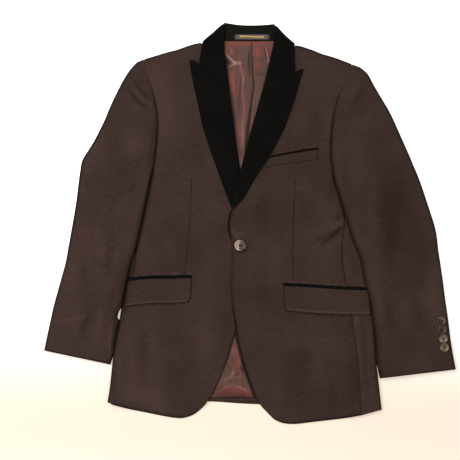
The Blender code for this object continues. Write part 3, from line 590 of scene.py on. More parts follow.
lining = {
    "rows": 230, "columns": 96,
    "strip": [
        (-60, 56, 351.2), (-61, 53, 331), (-60, 50, 310), (-58, 39.5, 276),
        (-52, 29, 237.5), (-46.5, 19.5, 199), (-40.5, 11.5, 160.5), (-38.5, 4, 125.5),
        (-40.5, 4, 91), (-46.5, 7.5, 15.5), (-50, 7.5, -71), (-54, 4, -167.5),
        (-63.5, 6, -216), (-81, 11.5, -254.5), (-98.5, 25, -297), (-112, 40.5, -337),
    ],
    "pleat": [
        (1.6, 351.2), (2.1, 324.6), (3.5, 305), (4.6, 285.4), (6.4, 271.3), (7.6, 262.9), (5.8, 248.9),
        (3.6, 234.9), (0.8, 220.9), (-3, 206.8), (-6.6, 192.8), (-8.6, 170), (-9.7, 125.6), (-11.6, 90.9),
        (-13, 20), (-14, -120), (-15, -240), (-15, -338),
    ],
    "pleatHeight": 1.1, "pleatEase": 1.6, "pleatReach": 9, "level": 0.35, "seamSide": 1.2,
    "sideFade": 0.06, "topFade": (350, 6), "foot": -337, "footFade": 5,
    "redness": 0.36, "foldRedness": 0.10, "foldSheen": 0.12,
    "leftShade": (3.2, 2.4), "rightShade": (0.7, 1.8), "shadeFade": (-190, 20),  # shades beside the fronts
    "folds": [  # x, y at one end and the other, bow, width, height
        (-51, 330, -22, 302, 1, 1.4, 1.0), (-47, 296, -22, 314, -1, 1.4, 0.8),
        (-46, 314, -36, 311, 0, 2.5, -0.9), (-46, 296, -28, 298, 2, 2.0, -0.6),
        (-42, 344, -32, 322, 2, 2.2, 0.6), (-37, 300, -30, 235, 2, 5.5, 0.7),
        (-22, 322, -23, 205, -2, 3.4, -0.7), (-19, 332, -8, 262, -3, 2.4, 0.9),
        (-8, 300, -14, 232, -2, 2.6, 0.9), (-12, 262, -13, 180, 2, 2.4, 0.8),
        (-13, 215, -14, 130, 0, 2.4, 0.7), (9, 276, -6, 178, 2.2, 1.5, 1.0),
        (-1, 348, 0, 260, 0, 2.8, -0.7), (18, 345, 17, 308, 1, 5.0, 0.8), (8, 290, 34, 287, 0, 3.5, -0.5),
        (28, 347, 37, 306, 1, 1.4, 0.9), (34, 346, 32, 318, 1, 1.6, -0.7),
        (24, 276, 12, 200, 2, 3.5, 0.5), (14, 262, 4, 190, 1, 2.5, -0.4),
        (-28, 205, -20, 110, 2, 3.0, 0.6), (-34, 240, -28, 150, 0, 2.2, -0.5),
        (-37, -298, -14, -286, -2, 1.8, -1.0), (-64, -317, -12, -291, 3, 3.2, 0.9),
        (-60, -310, -22, -300, 2, 2.0, -0.7), (-34, -276, -30, -300, 1, 2.0, 0.5),
        (-24, -262, -17, -284, 2, 2.2, 0.8), (-74, -336, -28, -310, 2, 2.4, 0.9),
        (-38, -311, 6, -334, 2, 2.4, 0.9), (-55, -328, -4, -328, 0, 5.0, -0.6),
        (-31, -240, -27, -268, 1, 1.8, 0.5),
    ],
    "reds": [  # x, y at one end and the other, bow, width, redness
        (-56, 350, 54, 350, 0, 7, 1.1), (-46, 342, -32, 322, 0, 7, 0.7),
        (-34, 306, -31, 236, 1, 7.5, 0.75), (-19, 332, -8, 262, -3, 2.0, 0.5),
        (-8, 300, -14, 232, -2, 2.0, 0.5), (-12, 262, -13, 180, 2, 2.0, 0.45),
        (11, 284, -8, 164, 3.2, 1.6, 0.8), (18, 345, 17, 316, 0, 7.5, 0.75),
        (42, 350, 39, 308, 0, 4.5, 0.8), (15, 320, 13, 290, 0, 5, 0.35), (-24, 215, -18, 120, 0, 5, 0.35),
        (8, 240, -2, 160, 0, 4, 0.35), (-32, 180, -24, 110, 0, 4, 0.3),
        (-27, -212, -17, -302, 0, 6.5, 0.6), (-40, -292, -12, -298, 1, 3.5, 0.7),
        (-80, -330, 20, -332, 0, 10, 1.3), (-50, -320, -14, -320, -3, 6, 0.5),
        (-38, -262, -30, -300, 0, 5, 0.25),
    ],
    # Darks: strokes of painted shade, for the satin's depth mask.
    "darks": [  # x, y at one end and the other, bow, width, depth
        (-45, 322, -40, 302, 0, 3.0, 1.0), (-35, 352, -45, 320, 0, 1.5, 0.6),
        (-30, 352, -25, 318, 0, 1.6, 0.5), (-20, 350, -24, 322, 0, 1.4, 0.4),
        (-15, 312, -22, 185, -1, 3.6, 0.55), (-1, 356, 0, 262, 0, 3.2, 0.8),
        (2, 345, 6, 250, 1, 1.6, 0.8), (7, 285, -11, 150, 3.2, 1.7, 1.3), (6, 275, -17, 60, 1, 2.6, 1.4),
        (26, 352, 33, 300, 0, 1.2, 0.8), (36, 348, 38, 314, 0, 1.0, 0.6), (6, 290, 36, 286, 0, 4.0, 0.45),
        (24, 262, 10, 190, 1, 3.6, 0.4), (-37, 246, -28, 130, 1, 2.2, 0.4),
        (-60, 352.2, 56, 352.2, 0, 1.2, 0.8), (-50, 372, -11, 30, 0, 4.0, 0.6),
        (46, 372, -13, 30, 0, 4.0, 0.6), (-35, -298, -16, -291, 1, 1.5, 1.1),
        (-20, -270, -12, -294, 0, 1.6, 0.8), (-62, -313, -26, -301, 2, 1.7, 0.6),
        (6, 300, -6, 180, 0, 14, 0.2), (-90, -336.6, 20, -336.6, 0, 1.0, 0.8),
        (-110, -332, 50, -334, 0, 13, 0.6), (-30, -240, -26, -300, 0, 26, 0.22),
        (-70, -322, -40, -318, 0, 1.6, 0.4), (-44, -262, -36, -296, 0, 3, 0.3),
    ],
    # Sheen streaks: painted highlights of the satin's sheen.
    "sheenStreaks": [  # x, y at one end and the other, bow, width, paleness
        (-54, 332, -24, 303, 1, 1.2, 1.0), (-38, 311, -13, 307, 1, 1.3, 0.65),
        (-49, 295, -24, 314, -1, 1.1, 0.75), (-33, 313, -16, 302, 0, 4.0, 0.4),
        (-34, 318, -30, 292, 1, 1.3, 0.4), (-40, 340, -33, 322, 1, 1.4, 0.3),
        (-19, 332, -8, 262, -3, 2.6, 0.22), (-8, 300, -14, 232, -2, 2.6, 0.18),
        (-12, 262, -13, 180, 2, 2.6, 0.16), (-13, 215, -14, 130, 0, 2.4, 0.3),
        (11, 282, -8, 162, 3.2, 1.6, 0.55), (-24, 140, -16, 95, 0, 6, 0.35),
        (27, 350, 38, 304, 1, 1.4, 0.6), (35, 318, 34, 304, 0, 3, 0.4), (28, 262, 20, 226, 0, 3, 0.2),
        (-66, -318, -12, -290, 3, 3.0, 0.24), (-78, -338, -25, -307, 3, 2.6, 0.26),
        (-42, -308, 10, -337, 3, 2.6, 0.24), (-33, -232, -34, -262, 0, 3, 0.3),
        (-30, -276, -36, -300, 0, 4, 0.25), (-56, -308, -22, -282, 2, 2.2, 0.16),
    ],
}


# Lining: z = lining + neckLift + folds; a pleat laid to one side of its line stands up to it and ends there.
def makeLining():
    edges = sampled(lining["strip"], lining["rows"])
    share = np.linspace(0, 1, lining["columns"])[None]
    x = edges[:, :1] + (edges[:, 1:2] - edges[:, :1]) * share
    y = np.broadcast_to(edges[:, 2:3], x.shape)
    inside = ease(share / lining["sideFade"]) * ease((1 - share) / lining["sideFade"])
    inside = inside * below(y, *lining["topFade"]) * ease((y - lining["foot"]) / lining["footFade"])
    aside = x - edgeX(lining["pleat"], y)
    step = ease((lining["seamSide"] - aside) / lining["pleatEase"])
    step = step * np.exp(-np.clip(-aside, 0, None) / lining["pleatReach"]) * lining["pleatHeight"]
    folds = softFolds(x, y, lining["folds"])
    z = layers["lining"] + neckLift(x, y, layers["liningReach"]) + inside * (lining["level"] + step + folds)
    leftEdge, rightEdge = twoEdges(fronts["leftEdges"])[0], twoEdges(fronts["rightEdges"])[1]
    depth, width = lining["leftShade"]
    shade = depth * soft(distanceTo(x, y, leftEdge[-11:]), width)
    depth, width = lining["rightShade"]
    shade = shade + depth * soft(distanceTo(x, y, rightEdge[-9:]), width)
    # Masks: painted shade along the pleat's line, beside the fronts' edges and in the darks; painted sheen in
    # the sheen streaks and on the folds' ridges; the shot cloth's redness.
    masks = {
        "seam": np.abs(aside - lining["seamSide"]) + 3.5 * (y < 60),
        "redness": lining["redness"] + softFolds(x, y, lining["reds"]) + lining["foldRedness"] * folds,
        "paintedSheen": softFolds(x, y, lining["sheenStreaks"]) + lining["foldSheen"] * folds,
        "depth": softFolds(x, y, lining["darks"]) + shade * below(y, *lining["shadeFade"]),
    }
    grid = np.stack([x, y, z], axis=2)
    addCloth("backLiningSatin", grid, layers["liningThick"], "lining", ["back_lining"],
             masks, rounding=0.3)


turnup = {"right": -112, "left": 40.5, "top": -337.5, "bottom": -344.0, "rows": 5, "columns": 60}


# Hem of the back turned up below the lining's foot: a flat band at the lining's height.
def makeTurnup():
    across = np.linspace(turnup["right"], turnup["left"], turnup["columns"])
    x, y = np.meshgrid(across, np.linspace(turnup["top"], turnup["bottom"], turnup["rows"]))
    grid = np.stack([x, y, np.full(x.shape, layers["lining"])], axis=2)
    addCloth("hemTurnupCloth", grid, layers["liningThick"], "suiting", ["back_hem_turnup"],
             rounding=0.3)


# Side panels

sides = {
    "rows": 130, "across": 14, "around": 10, "under": 24, "tuck": 0.9, "rightSeam": 1.4, "leftSeam": 1.0,
    "foldFade": 4, "foldShade": 3.6,
    "right": [
        (-244, 60, -255, 63, 64), (-238, 25.5, -247.5, 23.5, 25.5), (-230.2, -13.5, -240, -15, -13.5),
        (-223, -52, -233.5, -52, -52), (-224.5, -81, -234.5, -81, -81),
        (-230, -113.5, -239.5, -113.5, -113.5), (-237.5, -142.5, -244.5, -142.5, -142.5),
        (-242, -166.5, -249, -166.5, -166), (-247.5, -198, -254, -198, -196.5),
        (-252, -229.5, -259, -229.5, -229.5), (-255.5, -259.5, -264.5, -259.5, -258.5),
        (-259.5, -291, -268, -291, -291), (-263, -322, -271.5, -322, -322),
        (-265, -351.7, -275.5, -346.6, -345.2),
    ],
    "left": [
        (184.5, 49.5, 251, 52.5, 52.5), (185, 31, 246.5, 31, 31), (184, 12, 240.5, 12, 12),
        (183.5, -10.5, 233, -10.5, -10.5), (180.5, -30.5, 226.5, -30.5, -30.5),
        (179.5, -52, 222, -52, -52), (180, -73, 224, -73, -73), (183, -96.5, 227.5, -96.5, -96.5),
        (187, -117.5, 230.5, -117.5, -117.5), (193, -148.5, 234.5, -148.5, -148.5),
        (198.5, -180.5, 238, -180.5, -180.5), (203, -214, 241, -214, -214), (207, -243, 243, -243, -243),
        (211, -270, 244.5, -270, -270), (213, -303, 248, -303, -303), (214.5, -335.5, 251.5, -335.5, -332),
        (216, -371.2, 254.5, -361, -357),
    ],
    "rightFolds": [(-249, -187, -256.7, -331.8, 0, 4, 0.3)],
    "leftFolds": [
        (206.5, -175.4, 204.6, -206.3, 0, 4, 0.9), (216.2, -183.2, 223.9, -287.4, 0, 5, -0.7),
        (204.6, -217.9, 220, -341.4, 0, 5, 0.6), (227.7, -264.2, 239.3, -356.9, 0, 4, 0.5),
        (202, -178, 210, -188, 0, 2.2, 2.0), (187.2, -48.1, 191.1, -106, 0, 4, 0.4),
        (198.8, -63.5, 208.4, -109.8, 0, 4, -0.4),
    ],
}


# Side panel: from the front seam flat to the fold, half a circle round it, and flat to the seam of the back.
def makeSidePanel(side):
    table = np.array(sides[side], float)
    at = np.linspace(0, len(table) - 1, sides["rows"])
    seamPoint, foldPoint = curveThrough(table[:, :2], at), curveThrough(table[:, 2:4], at)
    backY = curveThrough(table[:, [4, 4]], at)[:, :1]
    backEdge = twoEdges(backs[side + "Edges"])[0 if side == "right" else 1]
    backX = edgeX(backEdge, backY) + outward[side] * layers["seamGap"]
    radius = (layers["front"] - layers["back"]) / 2
    centre = foldPoint[:, :1] - outward[side] * (radius + layers["woolThick"] / 2)
    seamX = seamPoint[:, :1] - outward[side] * sides["tuck"]
    seamY, foldY = seamPoint[:, 1:], foldPoint[:, 1:]
    over = np.linspace(0, 1, sides["across"])[None, :-1]
    angle = np.linspace(0, np.pi, sides["around"] + 1)[None]
    under = np.linspace(0, 1, sides["under"])[None, 1:]
    x = np.concatenate([seamX + (centre - seamX) * over, centre + outward[side] * radius * np.sin(angle),
                        centre + (backX - centre) * under], axis=1)
    y = np.concatenate([seamY + (foldY - seamY) * over, foldY + 0 * angle,
                        foldY + (backY - foldY) * under], axis=1)
    z = np.concatenate([layers["front"] + 0 * over, layers["back"] + radius * (1 + np.cos(angle)),
                        layers["back"] + 0 * under], axis=1) + 0 * centre
    upper = (z > layers["front"] - 0.01) * ease(np.abs(x - centre) / sides["foldFade"])
    folds = upper * softFolds(x, y, sides[side + "Folds"])
    # Fold mask: painted shade along the outer rim of the fold, with the folds' painted light and shade.
    atFold = np.exp(-((x - centre) * outward[side] - radius) ** 2 / 5.0)
    masks = clothMasks(x.shape, folds - sides["foldShade"] * atFold)
    masks["seam"][:, 0] = sides[side + "Seam"]
    grid = np.stack([x, y, z + folds], axis=2)
    addCloth("side" + side.title() + "Cloth", grid, layers["woolThick"], "suiting", ["side_panel_" + side],
             masks=masks, curved=True)


# Fronts

fronts = {
    "rows": 172, "columns": 150, "hemDrape": 3.9, "drapeFrom": -339, "drapeOver": 25,
    "shoulder": [(0, 1.0), (0.04, 0.45), (0.13, 0.15), (0.4, 0.0)], "shoulderFrom": 110, "shoulderEase": 18,
    "shoulderGap": 0.6, "armholeGap": 0.15, "rightSideX": -264.5, "leftSideX": 215.5,
    "rightWave": 0.4, "leftWave": 1.9, "waveHeight": 0.07, "foldFade": 9, "topFade": (345, 30),
    "armholeFoot": 84, "edgeTurn": (0.7, 2.6), "hemWave": (3, 31), "seamReach": 9, "seamFrom": 0.25,
    # Painted shade along the edges (dark rims): depth and width, and the share left high up where the rim
    # fades
    "openingFade": (-110, 90), "sideFade": (-120, 60), "underarmFade": (100, 25),
    "rightOpening": (5.0, 2.2, 1.0), "leftOpening": (10.0, 3.8, 0.25),
    "topRim": (4.0, 1.5), "hemRim": (8.0, 2.6),
    "sideRim": (3.4, 2.2), "rightSideFade": 0.75, "leftSideFade": 0.3, "underarmRim": (6.0, 2.8),
    # Painted shadow round the front button:
    "buttonShade": (-17.6, -44.8, 12.8, 2.4),  # x, y, radius and depth
    "rightEdges": [
        (-203.5, 316.4, -63.5, 360), (-196.5, 287.5, -54.5, 326.5), (-188, 262.5, -49, 299.5),
        (-180.5, 230.5, -45.5, 268.5), (-177, 196.5, -42, 235.5), (-178, 161.5, -38, 201),
        (-183, 117.5, -34, 168), (-190.5, 86, -30.5, 137), (-216, 69.5, -26, 106.5),
        (-242.5, 60, -20.5, 73.5), (-237.5, 25.5, -13, 39), (-229.5, -13.5, -7.5, 2),
        (-222.5, -52, -3.5, -32.5), (-224, -81, -3.5, -75), (-229.5, -113.5, -6, -117.5),
        (-237, -142.5, -12.5, -158), (-241.5, -166.5, -21, -189), (-247, -198, -29, -212),
        (-251.5, -229.5, -37, -239), (-255, -259.5, -45.5, -266), (-259, -291, -56, -292),
        (-262.5, -322, -70.5, -324), (-264.5, -351, -85, -348),
    ],
    "rightTop": [
        (-203.5, 316.4), (-187, 321.4), (-170, 326.5), (-154.5, 331), (-140.5, 334.5), (-121.5, 341.2),
        (-100.5, 347), (-85, 347), (-63.5, 360),
    ],
    "rightHem": [
        (-264.5, -351), (-235.5, -358.5), (-202.5, -365.4), (-173.5, -371.4), (-147, -375.9),
        (-129.5, -376.4), (-110, -370.2), (-95, -358.6), (-85, -348),
    ],
    "leftEdges": [
        (62, 356.5, 196, 306.8), (48, 324.5, 189, 283.5), (38.5, 291.5, 180.5, 267.5),
        (30.5, 260.5, 169, 243), (22, 232, 160.5, 211), (13.5, 201, 155, 167), (5, 170, 154.5, 129.5),
        (-3, 139, 159, 93), (-10.5, 108.5, 166, 74.5), (-17.5, 79.5, 175.5, 62),
        (-24.5, 52.5, 183.5, 50.5), (-30.5, 32, 184.5, 31), (-35.5, 21, 183.5, 12), (-38.9, 2, 183, -10.5),
        (-38.7, -16, 180, -30.5), (-35.6, -34, 179, -52), (-34.5, -52, 179.5, -73),
        (-36, -86.5, 182.5, -96.5), (-36.5, -122.5, 186.5, -117.5), (-35, -158, 192.5, -148.5),
        (-29.5, -193, 198, -180.5), (-24, -229.5, 202.5, -214), (-16, -260.5, 206.5, -243),
        (-7, -291, 210.5, -270), (1, -311.5, 212.5, -303), (9, -332.5, 214, -335.5),
        (21, -352, 215.5, -371),
    ],
    "leftTop": [
        (62, 356.5), (80, 341.5), (94.5, 341.8), (108, 338), (121.5, 333.5), (139, 326.5), (158.5, 320.8),
        (180.5, 313), (196, 306.8),
    ],
    "leftHem": [
        (21, -352), (34.5, -366.6), (49, -380.2), (66.5, -386.9), (89, -387.9), (119.5, -384.4),
        (150.5, -380.9), (182, -377), (215.5, -371),
    ],
    "rightFolds": [  # x, y at one end and the other, bow, width, height
        (-193, 48.4, -173.7, 17.6, 3, 7, -0.6), (-200.7, 15.6, -216.2, -75.1, -3, 11, 0.43),
        (-154.4, 141.1, -158.3, 34.9, 2, 14, -0.31), (-86.8, 179.7, -69.5, 63.9, 4, 16, 0.31),
        (-193, 237.6, -177.6, 121.8, -4, 18, 0.31), (-225.8, -206.3, -229.7, -376.2, 2, 10, 0.5),
        (-200.7, -196.7, -204.6, -312.5, -2, 9, -0.56), (-173.7, -244.9, -177.6, -389.7, 2, 13, 0.37),
        (-115.8, -187, -127.4, -360.7, 5, 20, -0.37), (-81.1, -148.4, -84.9, -322.1, -3, 16, 0.31),
        (-250.9, -183.2, -256.7, -351.1, 0, 5, 0.5), (-69.5, -61.6, -57.9, -148.4, 2, 12, -0.25),
        (-164, -13.3, -150.5, -86.7, 3, 12, 0.31), (-42.5, 25.3, -69.5, -44.2, 5, 10, -0.31),
    ],
    "leftFolds": [  # x, y at one end and the other, bow, width, height
        (183.3, -7.5, 113.9, -46.1, -4, 5.5, -1.3), (179.5, -23, 108.1, -63.5, -4, 8, 0.43),
        (179.5, 15.6, 139, -5.6, -2, 9, 0.31), (115.8, 256.9, 131.2, 141.1, 6, 14, -0.43),
        (139, 247.2, 154.4, 141.1, 5, 13, 0.37), (96.5, 237.6, 81.1, 121.8, 4, 13, 0.25),
        (100.4, 71.6, 108.1, -13.3, 2, 10, -0.31), (131.2, 63.9, 139, 13.7, 2, 9, 0.31),
        (154.4, 83.2, 160.2, 34.9, 1, 7, -0.4), (23.2, 63.9, 7.7, -17.2, 4, 12, -0.37),
        (-23.2, -24.9, -7.7, -17.2, 0, 3.5, 0.9), (50.2, -13.3, 38.6, -129.1, 4, 15, 0.31),
        (15.4, -75.1, 23.2, -206.3, 3, 14, -0.31), (59.8, -187, 96.5, -244.9, 4, 12, 0.25),
        (96.5, -206.3, 88.8, -351.1, 4, 18, -0.43), (139, -216, 127.4, -351.1, -4, 16, 0.37),
        (169.8, -299, 154.4, -364.6, -3, 9, -0.56), (183.3, -206.3, 191.1, -351.1, 0, 9, 0.37),
        (34.7, -302.8, 77.2, -345.3, -4, 12, 0.37), (194.9, -179.3, 200.7, -217.9, 0, 4, -0.8),
        (154.4, -206.3, 150.5, -275.8, 0, 10, 0.19),
    ],
    "underarm": [
        (212, 20, 122, -52, 3, 2.6, -3.0), (206, 30, 128, -34, 3, 3.6, 1.1),
        (196, 26, 148, 2, 2, 4.5, -1.3), (196, -8, 140, -62, 2, 4, 0.8),
    ],
    "pucker": [(-38, -6, -18, -38, 1.5, 3.6, 1.9), (-36, -30, -30, -60, 0, 3, 0.3)],
    # Painted light and shade over broad patches of each front: x, y at one end and the other, bow, width,
    # height
    "rightShades": [
        (-176, 345, -172, 115, 0, 30, 1.1), (-77, 60, -77, -420, 0, 22, 0.4),
        (-193, -120, -193, -440, 0, 18, 0.6), (-275, -318, -130, -360, 0, 17, 1.3),
    ],
    "leftShades": [(196, 30, 204, -160, 0, 22, -0.8), (196, -170, 202, -440, 0, 20, -0.8)],
    "rightDart": [(-111.9, 89), (-115.8, 25.3), (-118.9, -33.8), (-124.7, -85.5), (-125.5, -98)],
    "leftDart": [(87.4, 85.7), (84.9, 25.3), (82, -63.3), (83.4, -107.7), (83.6, -112)],
}


# Height of a front's middle surface anywhere on it: its lifts and its folds together.
def frontHeight(side, x, y, foldShare=1.0):
    laps = 1 if side == "left" else 0
    lift = neckLift(x, y, layers["panelReach"]) + laps * overlapLift(x, y, 0)
    return layers["front"] + lift + foldShare * frontFolds(side, x, y)


# Painted highlight along the top of each velvet jetting, a thin Gaussian line just above it where its lip
# catches the light, and a painted shadow round the flap's free edges.
def pocketLip(side, x, y):
    lines = [(pockets[side + "Jetting"], 1.0)] + ([(pockets["weltJetting"], 0.2)] if side == "left" else [])
    lip = np.zeros(x.shape)
    for line, share in lines:
        line = np.array(sorted(line), float)
        above = y - np.interp(x, line[:, 0], line[:, 1]) + pockets["lipDown"]
        along = ease((x - line[0, 0]) / 3) * ease((line[-1, 0] - x) / 3)
        lip += share * pockets["lipShade"] * soft(above - 0.9, 0.9) * along
    edge, top = pockets[side + "FlapEdge"], pockets[side + "FlapTop"]
    around = edge + top[-1:] if side == "right" else top[:1] + edge
    lip -= pockets["flapShade"] * soft(distanceTo(x, y, around) - 0.6, 1.5)
    return lip


# Placed folds of a front, without its slow waves.
def creasesOn(side, x, y):
    extra = fronts["pucker"] + fronts["underarm"] if side == "left" else []
    return softFolds(x, y, fronts[side + "Folds"] + extra)


# Folds of a front, faded out at the armhole and side seams so that the panels still meet there.
def frontFolds(side, x, y):
    folds = creasesOn(side, x, y) + slowWaves(x, y, fronts["waveHeight"], fronts[side + "Wave"])
    outer = twoEdges(fronts[side + "Edges"])[0 if side == "right" else 1]
    away = np.abs(x - edgeX(outer, y))
    return folds * ease(away / fronts["foldFade"]) * below(y, *fronts["topFade"])


# Line of an armhole: the inner fold of its sleeve.
def armholeLine(side, points=400):
    return sampled(twoEdges(sleeves[side])[0], points)


# Share of the painted dark rim beside an armhole, turned to a little painted light at the shoulder: least +
# (1 - least) below(y).
def shoulderFade(y):
    least, top, over = sleeves["shoulderFade"]
    return least + (1 - least) * below(y, top, over)


# Front: z = frontHeight, bent down to the shoulder seam, turned at its edges and draped to the table past
# the back's hem.
def makeFront(side):
    outer, inner = ("first", "second") if side == "right" else ("second", "first")
    armhole = armholeLine(side, 300)
    armhole[:, 0] -= outward[side] * fronts["armholeGap"]
    upper = armhole[armhole[:, 1] > fronts["armholeFoot"]]
    flat = snapEdge(flatPanel(fronts, side), 0 if side == "right" else -1, upper)
    x, y = flat[..., 0], flat[..., 1]
    z = frontHeight(side, x, y)
    at = np.linspace(0, len(fronts[side + "Edges"]) - 1, fronts["rows"])[:, None]
    drop = layers["front"] - layers["back"] - layers["woolThick"] - fronts["shoulderGap"]
    drop = drop * follow(fronts["shoulder"], at)
    z -= drop * ease((np.abs(x) - fronts["shoulderFrom"]) / fronts["shoulderEase"])
    z -= turnedEdges(flat, [inner, "bottom"], *fronts["edgeTurn"])
    waver, length = fronts["hemWave"]
    drape = below(y - waver * np.sin(x / length), fronts["drapeFrom"], fronts["drapeOver"])
    drape = drape * fronts["hemDrape"]
    z -= drape * ease((np.abs(x - fronts[side + "SideX"]) - 6) / 40)
    z = np.maximum(z, layers["frontThick"] / 2 + 0.05)
    # Fold mask: painted shade along its edges, beside the sleeve and round the button; painted light and
    # shade from the shade rows, the pocket lips and the creases.
    depth, width, share = fronts[side + "Opening"]
    rim = edgeShade(flat, [inner], depth, width) * (share + (1 - share) * below(y, *fronts["openingFade"]))
    rim += edgeShade(flat, ["top"], *fronts["topRim"]) + edgeShade(flat, ["bottom"], *fronts["hemRim"])
    sideFade = 1 - fronts[side + "SideFade"] * below(y, *fronts["sideFade"])
    rim += edgeShade(flat, [outer], *fronts["sideRim"]) * shoulderFade(y) * sideFade
    rim += pocketLip(side, x, y) + softFolds(x, y, fronts[side + "Shades"])
    depth, width = fronts["underarmRim"]
    rim -= depth * soft(x - edgeX(armhole, y), width) * below(y, *fronts["underarmFade"])
    if side == "left":
        buttonX, buttonY, radius, depth = fronts["buttonShade"]
        rim -= depth * np.exp(-(np.hypot(x - buttonX, y - buttonY) / radius) ** 8)
    seam = np.minimum(distanceTo(x, y, fronts[side + "Dart"]), fronts["seamReach"]) + fronts["seamFrom"]
    masks = {"seam": seam, "fold": creasesOn(side, x, y) + rim}
    addCloth("front" + side.title() + "Cloth", raised(flat, z), layers["frontThick"], "suiting",
             ["front_" + side], masks=masks, rounding=0.7)


# Lapels

lapels = {
    "rows": 120, "columns": 46, "rollRadius": 2.2, "rollFoot": 0.5, "crown": 0.9,
    "rightEdges": [
        (-116.5, 313.5, -48.5, 328.5), (-114.5, 297.5, -45.5, 307), (-110, 272.5, -42.5, 280),
        (-104, 245.5, -38, 243), (-98, 217.5, -34, 208.5), (-92, 189, -30, 175), (-83, 160.5, -24.5, 137),
        (-73.5, 132, -19, 98), (-63.5, 104.5, -14.5, 73.5), (-54, 78, -10.5, 52.5), (-45.5, 55, -7.5, 31),
        (-36.5, 33, -6, 13.5), (-27, 13.5, -5, 2), (-19.5, 0, -4, -5.5),
    ],
    "rightGorge": [
        (-116.5, 313.5), (-108, 313), (-97.5, 307), (-85, 310), (-72.5, 315.5), (-60, 322.5),
        (-48.5, 328.5),
    ],
    "leftEdges": [
        (103, 297, 42.5, 335), (100, 286.5, 36, 305), (94.5, 268.5, 29.5, 278), (89.5, 251, 21.5, 248),
        (84, 233.5, 13.5, 218.5), (78.5, 216, 5.5, 190.5), (70.5, 195.5, -2.5, 161.5),
        (62, 175, -10.5, 130), (43, 140, -18.5, 98), (24.5, 110, -23, 81.5), (5.5, 80.5, -27.5, 64),
        (-11, 51, -31.5, 46.5), (-20.5, 40, -34.5, 36), (-27, 32, -35, 28.5),
    ],
    "leftGorge": [
        (103, 297), (94.5, 295.5), (86.5, 291), (76, 299.5), (65.5, 311), (54, 323.5), (42.5, 335),
    ],
}


# Edge of a table, and its fold line brought in from the fold by a distance.
def broughtIn(table, distance):
    edge, fold = twoEdges(table)
    way = edge - fold
    return edge, fold + way / np.maximum(np.linalg.norm(way, axis=1), 1e-6)[:, None] * distance


# Lapel: lies on its front, crowned a little between its edge and the roll, where it turns down over the fold.
def makeLapel(side):
    laps = 1 if side == "left" else 0
    edge, fold = broughtIn(lapels[side + "Edges"], lapels["rollRadius"] + layers["frontThick"] / 2)
    gorge = np.array(lapels[side + "Gorge"], float)
    top = np.vstack([gorge[:-1], fold[:1]])
    bottom = edge[-1] + (fold[-1] - edge[-1]) * np.linspace(0, 1, len(gorge))[:, None]
    flat = fillEdges(edge, fold, top, bottom, lapels["rows"], lapels["columns"])
    x, y = flat[..., 0], flat[..., 1]
    z = layers["lapel"] + neckLift(x, y, layers["lapelReach"])
    z = z + laps * overlapLift(x, y, layers["lapelOverlapReach"])
    share = np.linspace(0, 1, lapels["columns"])[None]
    z = z + lapels["crown"] * np.sin(np.pi * share) * ease((y - 10) / 60) + slowWaves(x, y, 0.12, 2.7)
    z -= turnedEdges(flat, ["first", "top"], 0.5, 2.2) - 0.35
    grid = turnDown(raised(flat, z), lapels["rollRadius"], lapels["rollFoot"])
    addCloth("lapel" + side.title() + "Velvet", grid, layers["frontThick"], "velvet", ["lapel_" + side],
             curved=True, rounding=0.7)


facing = {"from": 30.5, "to": -42.0, "width": 3.2, "thick": 0.8, "drop": 1.15, "rows": 50, "columns": 8}


# Edge of the velvet facing, seen beside the left front's edge below the lapel: a strip that narrows downward,
# dark velvet that also stands in for the shadow in the gap there.
def makeFacingEdge():
    y = np.linspace(facing["from"], facing["to"], facing["rows"])[:, None]
    x0 = edgeX(sampled(twoEdges(fronts["leftEdges"])[0], 600), y)
    v = (facing["from"] - y) / (facing["from"] - facing["to"])
    width = facing["width"] * ease(v / 0.15 + 0.35) * ease((1 - v) / 0.35)
    u = np.linspace(0, 1, facing["columns"])[None]
    x = x0 + 0.6 - (width + 0.7) * u
    z = frontHeight("left", x0 + 0 * u, y + 0 * u) - facing["drop"] * (0.8 + 0.6 * u * u)
    z = np.maximum(z, layers["front"] + layers["frontThick"] / 2 + facing["thick"] / 2 + 0.05)
    grid = np.stack([x, y + 0 * u, z], axis=2)
    addCloth("facingEdgeVelvet", grid, facing["thick"], "velvet", [], curved=True,
             rounding=0.25)


# Collar

collar = {
    "columns": 40, "turn": 2.6, "foot": 1.6,
    "rows": np.concatenate([np.linspace(0, 1, 26), np.linspace(1, 4, 45)[1:]]),
    "drops": [(0, 1.0), (0.08, 0.5), (0.25, 0.12), (0.6, 0.0)],
    "rightEdges": [
        (-90.5, 351, -50.3, 386.2), (-92, 345, -50.3, 375), (-94.5, 331, -50.1, 358), (-97, 317, -49.6, 342),
        (-98, 308.8, -49.4, 330.3),
    ],
    "rightTop": [(-90.5, 351), (-81.5, 359.2), (-72, 367), (-61, 377), (-50.3, 386.2)],
    "rightGorge": [(-98, 308.8), (-85.5, 311), (-73.5, 316.5), (-61, 323.5), (-49.4, 330.3)],
    "leftEdges": [
        (85.5, 347, 47.6, 383.2), (85.5, 338, 48, 372), (85.8, 322, 47.5, 358), (86.2, 305, 45.5, 345),
        (86.7, 292.3, 43.2, 336.4),
    ],
    "leftTop": [(85.5, 347), (74.7, 356.3), (65.8, 364.3), (57.5, 373.2), (47.6, 383.2)],
    "leftGorge": [(86.7, 292.3), (76.2, 301), (65.8, 312.5), (54.3, 325), (43.2, 336.4)],
    "back": [(351.5, -48.2, 45.6), (362, -48.3, 45.8), (372, -48.8, 46.4), (385.7, -50.4, 47.6)],
    "fall": [(385.7, -45, 42.5), (374, -55.5, 51.5), (362, -71, 67), (350, -84, 78), (338, -88, 80)],
    "bend": 1.6, "dip": 6.0, "dipFrom": 345, "around": 8, "backColumns": 60, "cornerDrop": (0.7, 3.2),
    "gorgeTuck": 1.0, "standRows": 26, "fallRows": 30, "shade": 0.45,
}


